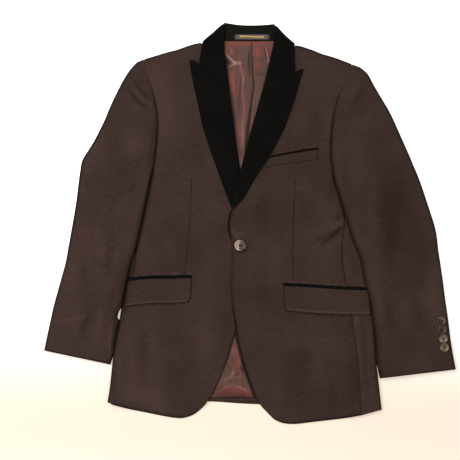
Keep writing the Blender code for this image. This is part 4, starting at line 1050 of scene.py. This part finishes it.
# Collar over a shoulder: as the lapel, and its top rows fall toward the collar's fall beneath.
def makeCollar(side):
    edge, fold = broughtIn(collar[side + "Edges"], collar["turn"] + layers["frontThick"] / 2)
    top = np.vstack([np.array(collar[side + "Top"], float)[:-1], fold[:1]])
    gorge = np.vstack([np.array(collar[side + "Gorge"], float)[:-1], fold[-1:]])
    v = collar["rows"] / (len(edge) - 1)
    flat = fillEdges(edge, fold, top, gorge, v, collar["columns"])
    flat[..., 1] -= collar["gorgeTuck"] * ease(v * 8 - 7)[:, None]
    x, y = flat[..., 0], flat[..., 1]
    z = layers["lapel"] + neckLift(x, y, layers["lapelReach"]) + slowWaves(x, y, 0.08, 0.9)
    grid = turnDown(raised(flat, z), collar["turn"], collar["foot"])
    grid[..., 2] -= follow(collar["drops"], collar["rows"])[:, None] * (grid[..., 2] - layers["back"] - 0.6)
    addCloth("collar" + side.title() + "Velvet", grid, layers["frontThick"], "velvet", ["collar_" + side],
             curved=True, rounding=0.7)


# Back collar: sections across the neck carried up the stand, half a circle over the fold, and down the fall.
def makeBackCollar():
    up, down = sampled(collar["back"], collar["standRows"]), sampled(collar["fall"], collar["fallRows"])
    angle = np.linspace(0, np.pi, collar["around"] + 1)[1:-1]
    fold = np.array(collar["back"][-1:], float)
    over = np.repeat(fold, len(angle), axis=0)
    over[:, 0] += collar["bend"] * np.sin(angle)
    sections = np.vstack([up, over, down])
    high, low = layers["back"] + 2 * collar["bend"], layers["back"]
    rolled = low + collar["bend"] * (1 + np.cos(angle))
    z = np.concatenate([np.full(len(up), high), rolled, np.full(len(down), low)])
    s = np.linspace(-1, 1, collar["backColumns"])[None]
    y, left, right = sections[:, :1], sections[:, 1:2], sections[:, 2:3]
    risen = ease((y - collar["dipFrom"]) / (fold[0, 0] - collar["dipFrom"]))
    x = (left + right) / 2 + (right - left) / 2 * s
    corner = np.where(s < 0, collar["cornerDrop"][0] * s ** 8, collar["cornerDrop"][1] * s ** 2)
    y = y - collar["dip"] * risen * (1 - s * s) - corner * risen
    grid = np.stack([x, y, np.broadcast_to(z[:, None], x.shape)], axis=2)
    addCloth("backCollarVelvet", grid, layers["woolThick"], "velvet", ["collar_back"],
             masks=clothMasks(x.shape, collar["shade"]), curved=True)


# Label

label = {
    "centre": (4, 359.3), "size": (68, 9.5), "thick": 0.7, "bow": 0.25,
    "barAt": (3.8, 359.9), "bar": (47.3, 3.4), "barUp": 0.5, "barThick": 0.3, "tilt": -0.035,
}


# Label: a thin plate bowed up a little between its sewn ends, with a plain raised bar of gold thread.
def makeLabel():
    high = layers["back"] + 2 * collar["bend"] + layers["woolThick"] / 2
    high = high + layers["touchGap"] + label["thick"] / 2
    x, y = np.meshgrid(np.linspace(-0.5, 0.5, 60), np.linspace(0.5, -0.5, 12))
    bow = label["bow"] * np.cos(np.pi * x) * np.cos(np.pi * y)
    across, down = label["size"]
    grid = np.stack([label["centre"][0] + x * across, label["centre"][1] + y * down, high + bow], axis=2)
    mesh = gridMesh("neckLabelCloth", grid, masks={"fold": 0.05 - 0.75 * ease((np.abs(x) - 0.40) / 0.10)})
    piece = addPiece("neckLabelCloth", mesh, labelCloth, ["neck_label"])
    thicken(piece, label["thick"], 0)
    across, down = across * mm, down * mm
    across, down = label["bar"]
    dome = label["barUp"] * (1 - (2 * y) ** 4) * (1 - (2 * x) ** 8)
    barY = label["barAt"][1] + y * down + label["tilt"] * x * across
    barZ = high + label["thick"] / 2 + 0.1 + bow * 0.9 + dome
    bar = gridMesh("neckLabelBar", np.stack([label["barAt"][0] + x * across, barY, barZ], axis=2))
    thicken(addPiece("neckLabelBar", bar, goldThread), label["barThick"], -1)


# Sleeves

sleeves = {
    "gap": 5.1, "seamShare": 0.21, "crownShare": 0.45, "rows": 190, "across": 64, "around": 12, "under": 7,
    "liftFrom": 16, "liftTo": 42, "puff": 1.6, "rightWave": 0.8, "leftWave": 2.3, "underColumns": 26,
    # Painted shade along the sleeve's inner and outer folds and its cuff:
    "innerShade": (7.5, 3.2), "wideShade": (1.6, 8.0), "cuffRim": (5.0, 2.0),  # depth and width
    "wideFade": (60, 60), "shoulderFade": (-0.25, 310, 170), "waveHeight": 0.07, "sooner": (75.0, 40.0),
    "rightNotch": [
        (-96, 0), (-108, 1.2), (-160, 1.0), (-166, 0), (-182, -1.4), (-187, 0.9), (-250, 0.9),
        (-262, 0),
    ],
    "leftNotch": [(-226, 0), (-240, -1.0), (-268, -1.0), (-280, 0)],
    # Painted light and shade over patches of each sleeve:
    "rightShades": [
        (-318, 40, -362, -230, 0, 24, 0.6), (-398, -196, -286, -171, 0, 2.6, 0.9),
        (-256, -160, -266, -310, 0, 5.5, -3.2), (-265.5, -178, -273, -290, 0, 1.2, 2.4),
    ],
    "leftShades": [(262, 130, 306, -110, 0, 34, -1.6), (344, -30, 374, -280, 0, 16, 0.9)],
    "rightTouch": [(-100, 0), (-118, 1), (-164, 1), (-170, 0), (-182, 0), (-187, 1), (-254, 1), (-273, 0)],
    "leftTouch": [(-232, 0), (-242, 1), (-270, 1), (-285, 0.75), (-300, 0.58)],
    "right": [
        (-205, 316.2, -218, 310.8), (-197.7, 287.5, -233, 294.5), (-189.2, 262.5, -248, 270),
        (-181.7, 230.5, -267.5, 230.5), (-178.2, 196.5, -282, 196.5), (-179.2, 161.5, -299.5, 161.5),
        (-181.8, 139, -312, 141), (-184.2, 117.5, -324, 121), (-188.3, 99.5, -328, 100.5),
        (-192, 83, -330.5, 83), (-201, 39, -336, 39), (-211, -10.5, -344.5, -11.5),
        (-220.5, -50, -351.5, -50), (-228.5, -75, -356, -75), (-236.5, -105, -364, -105),
        (-245.5, -142.5, -374.5, -142.5), (-250.5, -162, -380, -163), (-255, -187, -385.5, -189),
        (-260.5, -222.5, -393, -223.5), (-269.5, -273, -397.5, -246),
    ],
    "left": [
        (197.5, 306.6, 213, 300.6), (190, 283.5, 227.5, 287.5), (181.7, 267.5, 238.5, 267.5),
        (170.2, 243, 253, 242.5), (161.7, 211, 271.5, 211), (156.2, 167, 291.5, 167),
        (155.7, 129.5, 309, 127.5), (158, 110, 316.5, 109), (160.3, 93, 323.5, 93), (167, 68.5, 333, 67.5),
        (178.5, 31.5, 345, 31), (188, -3, 356, -3), (194.5, -27, 361, -27), (204.5, -50, 363.5, -50),
        (213.5, -75.5, 367.5, -76), (219.5, -110, 372.5, -110), (230.5, -149, 377.5, -149.5),
        (234.5, -180.5, 382, -180.5), (241.5, -228.5, 388, -228.5), (246, -265.5, 393, -258.5),
        (254, -299.5, 397.5, -282.5),
    ],
    "rightLift": [(125, 0), (92, 7.1), (-55, 7.1), (-80, 9), (-166, 9), (-235, 0)],
    "leftLift": [
        (125, 0), (88, 7.1), (-65, 7.1), (-92, 9), (-180, 9), (-215, 7.1), (-262, 7.1), (-300, 3),
    ],
    "rightFolds": [  # x, y at one end and the other, bow, width, height
        (-240, 266, -188, 214, -4, 3.0, -1.7), (-228, 284, -184, 232, -4, 2.8, -1.2),
        (-234, 276, -188, 224, -4, 3.0, 1.0), (-246, 252, -196, 206, -4, 5, 0.5),
        (-239.3, 62, -216.2, 75.5, -2, 5, -1), (-270.2, 33, -227.7, 52.3, -3, 9, 0.43),
        (-295.3, 15.6, -295.3, -90.5, 5, 12, 0.62), (-272.1, -3.7, -274.1, -129.1, 4, 9, -0.56),
        (-247, -23, -266.3, -148.4, -3, 8, 0.43), (-320.4, -42.3, -328.1, -148.4, 2, 10, -0.5),
        (-308.8, 199, -281.8, 121.8, 4, 14, 0.43), (-266.3, 179.7, -254.8, 83.2, 4, 15, -0.43),
        (-227.7, 179.7, -220, 106.3, 2, 10, 0.37), (-289.5, 112.1, -312.7, 34.9, -5, 13, -0.37),
        (-281.8, -148.4, -297.2, -244.9, -2, 7, 1), (-304.9, -148.4, -324.2, -241.1, -2, 7, -0.8),
        (-332, -148.4, -343.5, -235.3, 0, 8, 0.43), (-266.3, -183.2, -274.1, -260.4, 0, 5, 0.6),
        (-254.8, -100.2, -270.2, -171.6, -2, 6, -0.6), (-301.1, 79.3, -254.8, 87, 4, 9, -0.31),
    ],
    "leftFolds": [  # x, y at one end and the other, bow, width, height
        (223.9, 272.3, 183.3, 218.3, 7, 4.5, -0.8), (212.3, 280, 179.5, 241.4, 6, 4, 0.5),
        (204.6, 303.2, 187.2, 264.6, 5, 5, -0.4), (235.5, 241.4, 204.6, 168.1, 8, 9, 0.37),
        (266.3, 87, 268.3, -117.5, 3, 11, -0.93), (237.4, 102.5, 235.5, -51.9, 3, 13, 0.56),
        (295.3, 63.9, 297.2, -90.5, -2, 11, 0.56), (258.6, -117.5, 272.1, -233.3, 2, 8, -0.5),
        (233.5, -75.1, 250.9, -221.8, 2, 8, 0.5), (291.4, -109.8, 304.9, -225.6, 0, 10, 0.5),
        (322.3, 44.6, 330, -90.5, 0, 9, -0.37), (314.6, -119.5, 328.1, -221.8, 0, 8, -0.25),
        (196.9, 141.1, 212.3, 34.9, 3, 11, 0.37), (223.9, 160.4, 239.3, 98.6, 3, 12, -0.37),
        (262.5, 199, 285.6, 112.1, 3, 14, 0.37), (179.5, 125.6, 185.3, 44.6, 2, 8, -0.31),
        (185.3, 17.6, 223.9, -75.1, 3, 6, 0.6), (235.5, 25.3, 258.6, 33, 2, 8, -0.31),
        (274.1, -42.3, 312.7, -51.9, 3, 8, -0.25),
    ],
}


# Across place of the body's side fold at each y.
def sideFoldX(side, y):
    return edgeX([row[2:4] for row in sides[side]], y)


# How high the body lifts a sleeve: the table's height beside the body, eased to the table a little way out.
# The upper layer's slope is longer, started sooner by a wavering line.
def sleeveLift(side, x, y, sooner=0.0, wider=0.0):
    outside = np.abs(x) - np.abs(sideFoldX(side, y))
    near = 1 - ease((outside - sleeves["liftFrom"]) / (sleeves["liftTo"] + wider - sleeves["liftFrom"]))
    high = follow(sleeves[side + "Lift"], y)
    slope = sleeves[side + "Lift"][1][1] * ease((125 + sooner + 9 * np.sin(x / 17) - y) / (33 + sooner))
    return np.maximum(high, slope * (y > 60) * (sooner > 0)) * near


# Sleeve: a flattened tube. Each row runs from the seam beneath to the inner fold, half a circle round it,
# across the top with a low crown and the folds, round the outer fold and back beneath.
def makeSleeve(side):
    inner, outer = twoEdges(sleeves[side])
    at = np.linspace(0, len(inner) - 1, sleeves["rows"])
    start, end = curveThrough(inner, at), curveThrough(outer, at)
    start[:, 0] += follow(sleeves[side + "Touch"], start[:, 1]) * (sideFoldX(side, start[:, 1]) - start[:, 0])
    start[:, 0] += follow(sleeves[side + "Notch"], start[:, 1])
    width = np.linalg.norm(end - start, axis=1)[:, None]
    way = (end - start) / width
    radius = sleeves["gap"] / 2 * (sleeves["crownShare"] + (1 - sleeves["crownShare"]) * ease(at))[:, None]
    centre = radius + layers["woolThick"] / 2
    angle = np.linspace(0, np.pi, sleeves["around"] + 1)[None]
    q = np.linspace(0, 1, sleeves["across"] + 1)[None, 1:-1]
    k = np.linspace(0, 1, sleeves["under"] + 1)[None, :-1]
    share = sleeves["seamShare"]
    beneath = share * width * (1 - k) + centre * k
    distance = np.concatenate([beneath, centre - radius * np.sin(angle), centre + (width - 2 * centre) * q,
                               width - centre + radius * np.sin(angle), width - beneath[:, ::-1]], axis=1)
    level = 0 * radius * k
    rise = np.concatenate([level, radius * (1 - np.cos(angle)), 2 * radius + 0 * q,
                           radius * (1 + np.cos(angle)), level], axis=1)
    before = sleeves["under"] + sleeves["around"] + 1
    top = np.zeros(distance.shape)
    top[:, before:before + q.shape[1]] = ease(q / 0.10) * ease((1 - q) / 0.10)
    x = start[:, :1] + way[:, :1] * distance
    y = start[:, 1:] + way[:, 1:] * distance
    lift = sleeveLift(side, x, y)
    creases = top * softFolds(x, y, sleeves[side + "Folds"]) * ease(at[:, None] / 2)
    waves = slowWaves(x, y, sleeves["waveHeight"], sleeves[side + "Wave"])
    folds = creases + top * waves * ease(at[:, None] / 2)
    z = layers["back"] + rise + lift + folds + top * (sleeveLift(side, x, y, *sleeves["sooner"]) - lift)
    crown = (4 * q * (1 - q)) ** 0.6 * sleeves["puff"] * ease((at[:, None] - 0.3) / 1.5)
    z[:, before:before + q.shape[1]] += crown
    grid = np.stack([x, y, z], axis=2)
    # Fold mask: painted shade along the inner and outer folds and the cuff, painted light and shade from the
    # creases and the shade rows.
    shades = (rise >= radius) * softFolds(x, y, sleeves[side + "Shades"])
    outerShade = (6 + 5 * ease((start[:, 1:] + 90) / 120)) * soft(width - distance, 2.6)
    (depth, reach), (wideDepth, wideReach) = sleeves["innerShade"], sleeves["wideShade"]
    innerShade = depth * soft(distance, reach)
    innerShade = innerShade + wideDepth * soft(distance, wideReach) * below(y, *sleeves["wideFade"])
    shades = creases + shades - outerShade - shoulderFade(start[:, 1:]) * innerShade
    masks = clothMasks(x.shape, shades + edgeShade(grid, ["bottom"], *sleeves["cuffRim"]))
    addCloth("upperSleeve" + side.title() + "Cloth", grid, layers["woolThick"], "suiting",
             ["upper_sleeve_" + side], masks=masks, curved=True)
    gap = 0.05 / width[8:]
    s = gap + share + (1 - 2 * share - 2 * gap) * np.linspace(0, 1, sleeves["underColumns"])[None]
    x = start[8:, :1] + (end - start)[8:, :1] * s
    y = start[8:, 1:] + (end - start)[8:, 1:] * s
    grid = np.stack([x, y, layers["back"] + sleeveLift(side, x, y)], axis=2)
    addCloth("underSleeve" + side.title() + "Cloth", grid, layers["woolThick"], "suiting",
             ["under_sleeve_" + side], curved=True)


armhole = {
    "rightTop": 311.0, "leftTop": 302.0, "foot": 66.0, "width": 8.0, "tuck": 1.0, "thick": 0.4,
    "height": 1.8, "shoulderRise": 3.0, "riseFrom": (215, 50), "riseFade": (306, 10),
    "rows": 60, "gussetRows": 12, "columns": 6, "shade": 3.0, "shadeFade": (300, 150),
    "gussetTop": 113.0, "gussetFoot": 56.0, "gussetIn": 5.0, "gussetOut": 34.0, "gussetHeight": 3.2,
}


# Seam allowances of an armhole, beneath the front: a narrow strip along the sleeve's inner fold, and a wider
# one at the underarm, that close the seam.
def makeArmholeSeam(side):
    line, low = armholeLine(side), armhole["height"]
    u = np.linspace(0, 1, armhole["columns"])[None]
    y = np.linspace(armhole[side + "Top"], armhole["foot"], armhole["rows"])[:, None]
    x = edgeX(line, y) + outward[side] * (armhole["tuck"] - armhole["width"] * u)
    foot, over = armhole["riseFrom"]
    high = low + armhole["shoulderRise"] * ease((y - foot) / over) * below(y, *armhole["riseFade"])
    # Both strips carry painted shade in their fold mask, less of it toward the shoulder.
    strips = [("armholeSeam", x, y, high, -armhole["shade"] * below(y, *armhole["shadeFade"]))]
    y = np.linspace(armhole["gussetTop"], armhole["gussetFoot"], armhole["gussetRows"])[:, None]
    reach = armhole["gussetOut"] * below(y, armhole["gussetTop"] + 12, 24)
    x = edgeX(line, y) + outward[side] * ((reach + armhole["gussetIn"]) * u - armhole["gussetIn"])
    high = low + (armhole["gussetHeight"] - low) * below(y, armhole["gussetTop"] - 4, 12)
    strips.append(("underarmSeam", x, y, high, -armhole["shade"]))
    for name, x, y, high, shade in strips:
        grid = np.stack([x, y + 0 * u, high + 0 * x], axis=2)
        addCloth(name + side.title(), grid, armhole["thick"], "suiting", [],
                 masks=clothMasks(x.shape, shade), rounding=0.1)


# Pockets

pockets = {
    "rightJetting": [(-235, -104.5), (-193.5, -100.5), (-154.5, -100), (-112.5, -99)],
    "leftJetting": [(64.5, -114.5), (116, -117), (164, -120.5), (227, -123)],
    "rightFlap": [
        (-235.5, -111.9, -113.5, -106.4), (-238, -129, -114, -121.5), (-239.5, -146.5, -114.5, -136),
        (-241, -160.5, -117, -147.5),
    ],
    "rightFlapTop": [
        (-235.5, -111.9), (-214, -109.4), (-193.5, -107.9), (-154.5, -107.4), (-134, -107),
        (-113.5, -106.4),
    ],
    "rightFlapEdge": [(-241, -160.5), (-196, -155), (-162, -154), (-127, -153), (-121, -151), (-117, -147.5)],
    "leftFlap": [
        (66, -121.5, 227.5, -129.9), (66, -137, 230, -142.5), (66.5, -150.5, 231.5, -158),
        (70, -165, 233, -176.5),
    ],
    "leftFlapTop": [(66, -121.5), (98.5, -123.2), (116, -124), (164, -127.5), (196, -129), (227.5, -129.9)],
    "leftFlapEdge": [(70, -165), (74, -168), (80.5, -169.5), (131, -174.5), (188, -176.5), (233, -176.5)],
    "welt": [
        (40.5, 125.4, 107.5), (62, 130, 111.5), (88, 134.9, 116), (108, 138.4, 119.5), (131, 141.9, 123),
    ],
    "weltJetting": [(40.5, 130.6), (62, 135.2), (88, 140.1), (108, 143.6), (131, 147.1)],
    "jettingDepth": 6.9, "weltJettingDepth": 5.0,
    "rows": 50, "columns": 70, "weltRows": 16, "weltColumns": 60,
    "lipDown": 0.6, "lipShade": 6.0, "flapShade": 3.4,
    # Painted shade along the flap's and welt's edges, and a painted highlight near the flap's foot:
    "flapRim": (3.4, 1.1), "weltRim": (1.8, 1.1),  # depth and width
    "footLight": (3.6, 0.065, 0.026),  # light, and its place and width as shares of the flap up from its foot
}


# Height of a piece that lies on a front: the front's own surface, moved out by the gap between the layers.
def onFront(side, x, y):
    return frontHeight(side, x, y) - layers["front"] + layers["pocket"]


# Flap: lies on its front and rises a little toward its foot, turned down at its ends and foot.
def makeFlap(side):
    first, second = twoEdges(pockets[side + "Flap"])
    top, bottom = pockets[side + "FlapTop"], pockets[side + "FlapEdge"]
    flat = fillEdges(first, second, top, bottom, pockets["rows"], pockets["columns"])
    x, y = flat[..., 0], flat[..., 1]
    v = np.linspace(0, 1, pockets["rows"])[:, None]
    z = onFront(side, x, y) + 0.5 * v
    z -= turnedEdges(flat, ["first", "second", "bottom"], 0.45, 1.8)
    # Fold mask: painted shade along its free edges and a painted highlight just above its foot, with the
    # creases' painted light and shade.
    light, place, width = pockets["footLight"]
    rim = edgeShade(flat, ["bottom", "first", "second"], *pockets["flapRim"])
    rim = rim + light * soft(1 - v - place, width)
    addCloth("flap" + side.title() + "Cloth", raised(flat, z), layers["woolThick"], "suiting",
             ["flap_" + side], clothMasks(x.shape, creasesOn(side, x, y) + rim))


# Jetting: a narrow rounded roll of velvet hanging from a line by its depth.
def makeJetting(name, side, line, depth, node):
    v = np.linspace(0, 1, 7)[:, None, None]
    down = pockets["lipDown"] + v * (depth - pockets["lipDown"])
    flat = sampled(line, 60)[None] - down * np.array([0, 1])
    z = onFront(side, flat[..., 0], flat[..., 1]) + 0.35 * np.sin(np.pi * v[..., 0])
    addCloth(name, raised(flat, z), layers["woolThick"], "velvet", [node])


# Breast welt: lies on the left front from the lapel's edge outward, turned down at its foot and outer end.
def makeWelt():
    u = np.linspace(0, 1, pockets["weltColumns"])[None]
    v = np.linspace(0, 1, pockets["weltRows"])[:, None]
    across, high, low = sampled(pockets["welt"], pockets["weltColumns"]).T[:, None]
    x, y = across + 0 * v, high * (1 - v) + low * v
    start = np.minimum(edgeX(twoEdges(lapels["leftEdges"])[0], y[:, :1]) + 0.8, x[:, :1])
    x = x + (start - x[:, :1]) * (1 - u)
    flat = np.stack([x, y], axis=2)
    z = onFront("left", x, y) - turnedEdges(flat, ["bottom", "second"], 0.4, 1.5)
    # Fold mask: the creases' painted light and shade, and painted shade along its foot and outer end.
    shades = creasesOn("left", x, y) + edgeShade(flat, ["bottom", "second"], *pockets["weltRim"])
    addCloth("breastWeltCloth", raised(flat, z), layers["woolThick"], "suiting", ["breast_welt"],
             clothMasks(x.shape, shades))


# Buttons and stitching

buttons = {
    "front": (-19, -43, 21.5), "cuff": [(370, -188.5), (371, -205.6), (373, -222.8), (375.2, -239.8)],
    "cuffSize": 16.4, "cuffDark": [0.45, 0.5, 0.12, 0.0], "threadRadius": 0.38, "threadRise": 1.5,
    "frontLit": (-0.96, 0.2), "cuffLit": [(0.9, 0.2), (0.9, 0.2), (-0.5, -0.6), (-0.5, -0.6)],
    "profile": [(0.0, 2.5), (0.30, 2.5), (0.50, 2.65), (0.62, 3.2), (0.74, 3.75), (0.85, 3.85), (0.94, 3.5),
                (1.0, 2.5), (0.97, 1.6), (0.86, 0.8), (0.70, 0.4), (0.35, 0.15), (0.0, 0.0)],
    "around": 96, "rings": 84, "holeAt": 0.15, "holeRadius": 0.085, "holeDepth": 1.5,
}


# Button: a profile of (share of the radius, height) turned about its axis, with four holes in its face.
def makeButton(name, x0, y0, diameter, foot, node, dark, lit):
    radius = diameter / 2
    ring = sampled(buttons["profile"], buttons["rings"])
    share = np.clip(ring[:, :1], 0.0, None)
    turn = np.linspace(0, 2 * np.pi, buttons["around"], endpoint=False)[None]
    px, py = share * np.cos(turn), share * np.sin(turn)
    away = np.hypot(np.abs(px) - buttons["holeAt"], np.abs(py) - buttons["holeAt"])
    hole = 1 - ease((away - buttons["holeRadius"] * 0.6) / (buttons["holeRadius"] * 0.5))
    face = (np.arange(buttons["rings"]) < buttons["rings"] * 0.45)[:, None]
    hole = hole * face
    z = foot + ring[:, 1:] - hole * buttons["holeDepth"]
    grid = np.stack([x0 + px * radius, y0 + py * radius, z], axis=2)
    share = np.hypot(px, py)
    # Painted shade for the horn's mask: the dished middle and a ring inside the rim darker, the side away
    # from the light (lit) darker, and the holes dark.
    hornShade = 0.9 * (1 - ease((share - 0.22) / 0.16)) + 0.3 * soft(share - 0.62, 0.07)
    hornShade = hornShade + 0.62 * ease(0.30 + 0.8 * (-lit[0] * px - lit[1] * py)) * ease((share - 0.2) / 0.1)
    masks = {"hole": np.clip(hole + hornShade * face + dark, 0, 1)}
    addPiece(name, gridMesh(name, grid, masks=masks, closeAcross=True), hornPlastic, [node])


# Tube carried along a path of points: circles of a radius in the planes across the path.
def tubeAlong(path, radius, sides=10, bumps=0, bumpHeight=0.0, closed=False):
    ahead = np.roll(path, -1, axis=0) - np.roll(path, 1, axis=0) if closed else np.gradient(path, axis=0)
    ahead /= np.linalg.norm(ahead, axis=1)[:, None]
    aside = np.cross(ahead, np.array([0, 0, 1.0]))
    aside /= np.maximum(np.linalg.norm(aside, axis=1), 1e-6)[:, None]
    over = np.cross(aside, ahead)
    turn = np.linspace(0, 2 * np.pi, sides, endpoint=False)
    swell = radius + bumpHeight * np.abs(np.sin(np.linspace(0, np.pi * bumps, len(path))))
    ring = np.cos(turn)[None, :, None] * aside[:, None] + np.sin(turn)[None, :, None] * over[:, None]
    return path[:, None] + ring * swell[:, None, None]


def addThread(name, grid):
    addPiece(name, gridMesh(name, grid, uv=unrolled(grid), closeAcross=True), sewingThread)


# Thread through a button's four holes: two arcs side by side, each rising between its holes.
def makeButtonThread(name, x0, y0, diameter, foot):
    at = buttons["holeAt"] * diameter / 2
    t = np.linspace(0, 1, 14)
    z = foot + 1.6 + buttons["threadRise"] * np.sin(np.pi * t)
    for ending, signY in (("", -1), ("B", 1)):
        path = np.stack([x0 + at * (2 * t - 1), np.full(t.shape, y0 + signY * at), z], axis=1)
        addThread(name + ending, tubeAlong(path, buttons["threadRadius"]))


buttonhole = {
    "left": -27.0, "right": -1.5, "y": -43.6, "halfGap": 0.8, "radius": 0.75, "bumps": 46, "eye": 1.7,
}


# Buttonhole: a loop of close stitches round a slit with a rounder eye at one end, lying on the left front.
def makeButtonhole():
    v = buttonhole
    turn = np.linspace(0, 2 * np.pi, 240, endpoint=False)
    x = (v["left"] + v["right"]) / 2 + (v["right"] - v["left"]) / 2 * np.cos(turn)
    half = v["halfGap"] + v["eye"] * 0.5 * soft(x - v["right"] + 1.6, 1.6)
    y = v["y"] + np.sin(turn) * half * np.minimum(1, 3 * np.abs(np.sin(turn)) + 0.3)
    z = frontHeight("left", x, y) + layers["frontThick"] / 2 + 0.35
    path = np.stack([x, y, z], axis=1)
    grid = tubeAlong(path, v["radius"] * 0.6, 8, v["bumps"] * 2, v["radius"] * 0.4, closed=True)
    addThread("frontButtonhole", np.concatenate([grid, grid[:1]], axis=0))


for side in ("right", "left"):
    makeBack(side)
makeLining()
makeTurnup()
for side in ("right", "left"):
    makeSidePanel(side)
for side in ("right", "left"):
    makeFront(side)
    makeLapel(side)
    makeCollar(side)
    makeSleeve(side)
    makeArmholeSeam(side)
    makeFlap(side)
makeFacingEdge()
makeBackCollar()
makeLabel()
for side in ("right", "left"):
    makeJetting(side + "JettingVelvet", side, pockets[side + "Jetting"], pockets["jettingDepth"],
                "flap_jetting_" + side)
makeJetting("breastJettingVelvet", "left", pockets["weltJetting"], pockets["weltJettingDepth"],
            "breast_jetting")
makeWelt()
print("cloth laid")

x0, y0, size = buttons["front"]
foot = layers["front"] + layers["overFront"] + layers["frontThick"] / 2 + layers["touchGap"]
makeButton("frontButtonHorn", x0, y0, size, foot, "front_button", 0.0, buttons["frontLit"])
makeButtonThread("frontButtonThread", x0, y0, size, foot)
foot = layers["back"] + sleeves["gap"] + layers["woolThick"] / 2 + layers["touchGap"]
for number, (x0, y0) in enumerate(buttons["cuff"], 1):
    dark, lit = buttons["cuffDark"][number - 1], buttons["cuffLit"][number - 1]
    name, node, size = f"cuffButton{number}", f"cuff_button_{number}", buttons["cuffSize"]
    makeButton(name + "Horn", x0, y0, size, foot, node, dark, lit)
    makeButtonThread(name + "Thread", x0, y0, size, foot)
makeButtonhole()
print("buttons sewn on")

# Floor, light and camera

studio = {
    "floorSize": 9.0, "white": (0.93, 0.93, 0.92),
    "warm": (0.58, 0.495, 0.405), "warmFrom": -0.05, "warmTo": -0.37,
    "below": (0.58, 0.515, 0.435), "belowFrom": -0.40, "belowTo": -0.48,
    # The floor glows at this strength: painted light.
    "shader": {"Emission Strength": 0.6, "Roughness": 0.9, "Specular IOR Level": 0.1},
    "sky": 0.60, "key": 72.0, "keyPlace": (-1.5, 0.6, 2.0), "keySize": 2.6,
    "fill": 9.0, "fillPlace": (1.6, -1.2, 2.2), "fillSize": 2.0,
    "lens": 135.0, "millimetresAcross": 887.8, "centre": (-38.6, -13.3), "aimHeight": 6.0,
}


# Floor: one pale square that glows with its own colour, a painted light that washes out the shadows on it,
# white toward the collar's end and warmer past the hem, a painted warm glow.
def makeFloor():
    half = studio["floorSize"] / 2 / mm
    x, y = np.meshgrid(np.linspace(-half, half, 3), np.linspace(half, -half, 3))
    mesh = gridMesh("floor", np.stack([x, y, np.full(x.shape, -0.3)], axis=2))
    floor = bpy.data.objects.new("floor", mesh)
    bpy.context.scene.collection.objects.link(floor)
    material, tree = startMaterial("paleFloor", studio["shader"])
    down = addNode(tree, "ShaderNodeSeparateXYZ", {0: readPlace(tree)}).outputs[1]
    warmth = mapRange(tree, down, studio["warmFrom"], studio["warmTo"])
    colour = mixColours(tree, warmth, studio["white"], studio["warm"])
    lowest = mapRange(tree, down, studio["belowFrom"], studio["belowTo"])
    joinShader(tree, mixColours(tree, lowest, colour, studio["below"]), also=["Emission Color"])
    mesh.materials.append(material)


# Square lamp at a place, turned to face the jacket's middle.
def addLamp(name, place, size, power, colour):
    lamp = bpy.data.lights.new(name, "AREA")
    lamp.shape, lamp.size, lamp.energy, lamp.color = "SQUARE", size, power, colour
    holder = bpy.data.objects.new(name, lamp)
    bpy.context.scene.collection.objects.link(holder)
    holder.location = place
    aim = -holder.location
    holder.rotation_euler = aim.to_track_quat("-Z", "Y").to_euler()
    holder.visible_camera = False


makeFloor()
addLamp("keyLamp", studio["keyPlace"], studio["keySize"], studio["key"], (1, 1, 1))
addLamp("fillLamp", studio["fillPlace"], studio["fillSize"], studio["fill"], (1, 0.96, 0.9))
world = bpy.data.worlds.new("studio")
world.use_nodes = True
world.node_tree.nodes["Background"].inputs[0].default_value = (1, 1, 1, 1)
world.node_tree.nodes["Background"].inputs[1].default_value = studio["sky"]
bpy.context.scene.world = world
bpy.context.scene.view_settings.view_transform = "Standard"

camera = bpy.data.cameras.new("camera")
camera.lens = studio["lens"]
holder = bpy.data.objects.new("camera", camera)
bpy.context.scene.collection.objects.link(holder)
height = studio["millimetresAcross"] * mm * studio["lens"] / camera.sensor_width
holder.location = (studio["centre"][0] * mm, studio["centre"][1] * mm, height + studio["aimHeight"] * mm)
camera.clip_end = 50
bpy.context.scene.camera = holder
print("stage set")
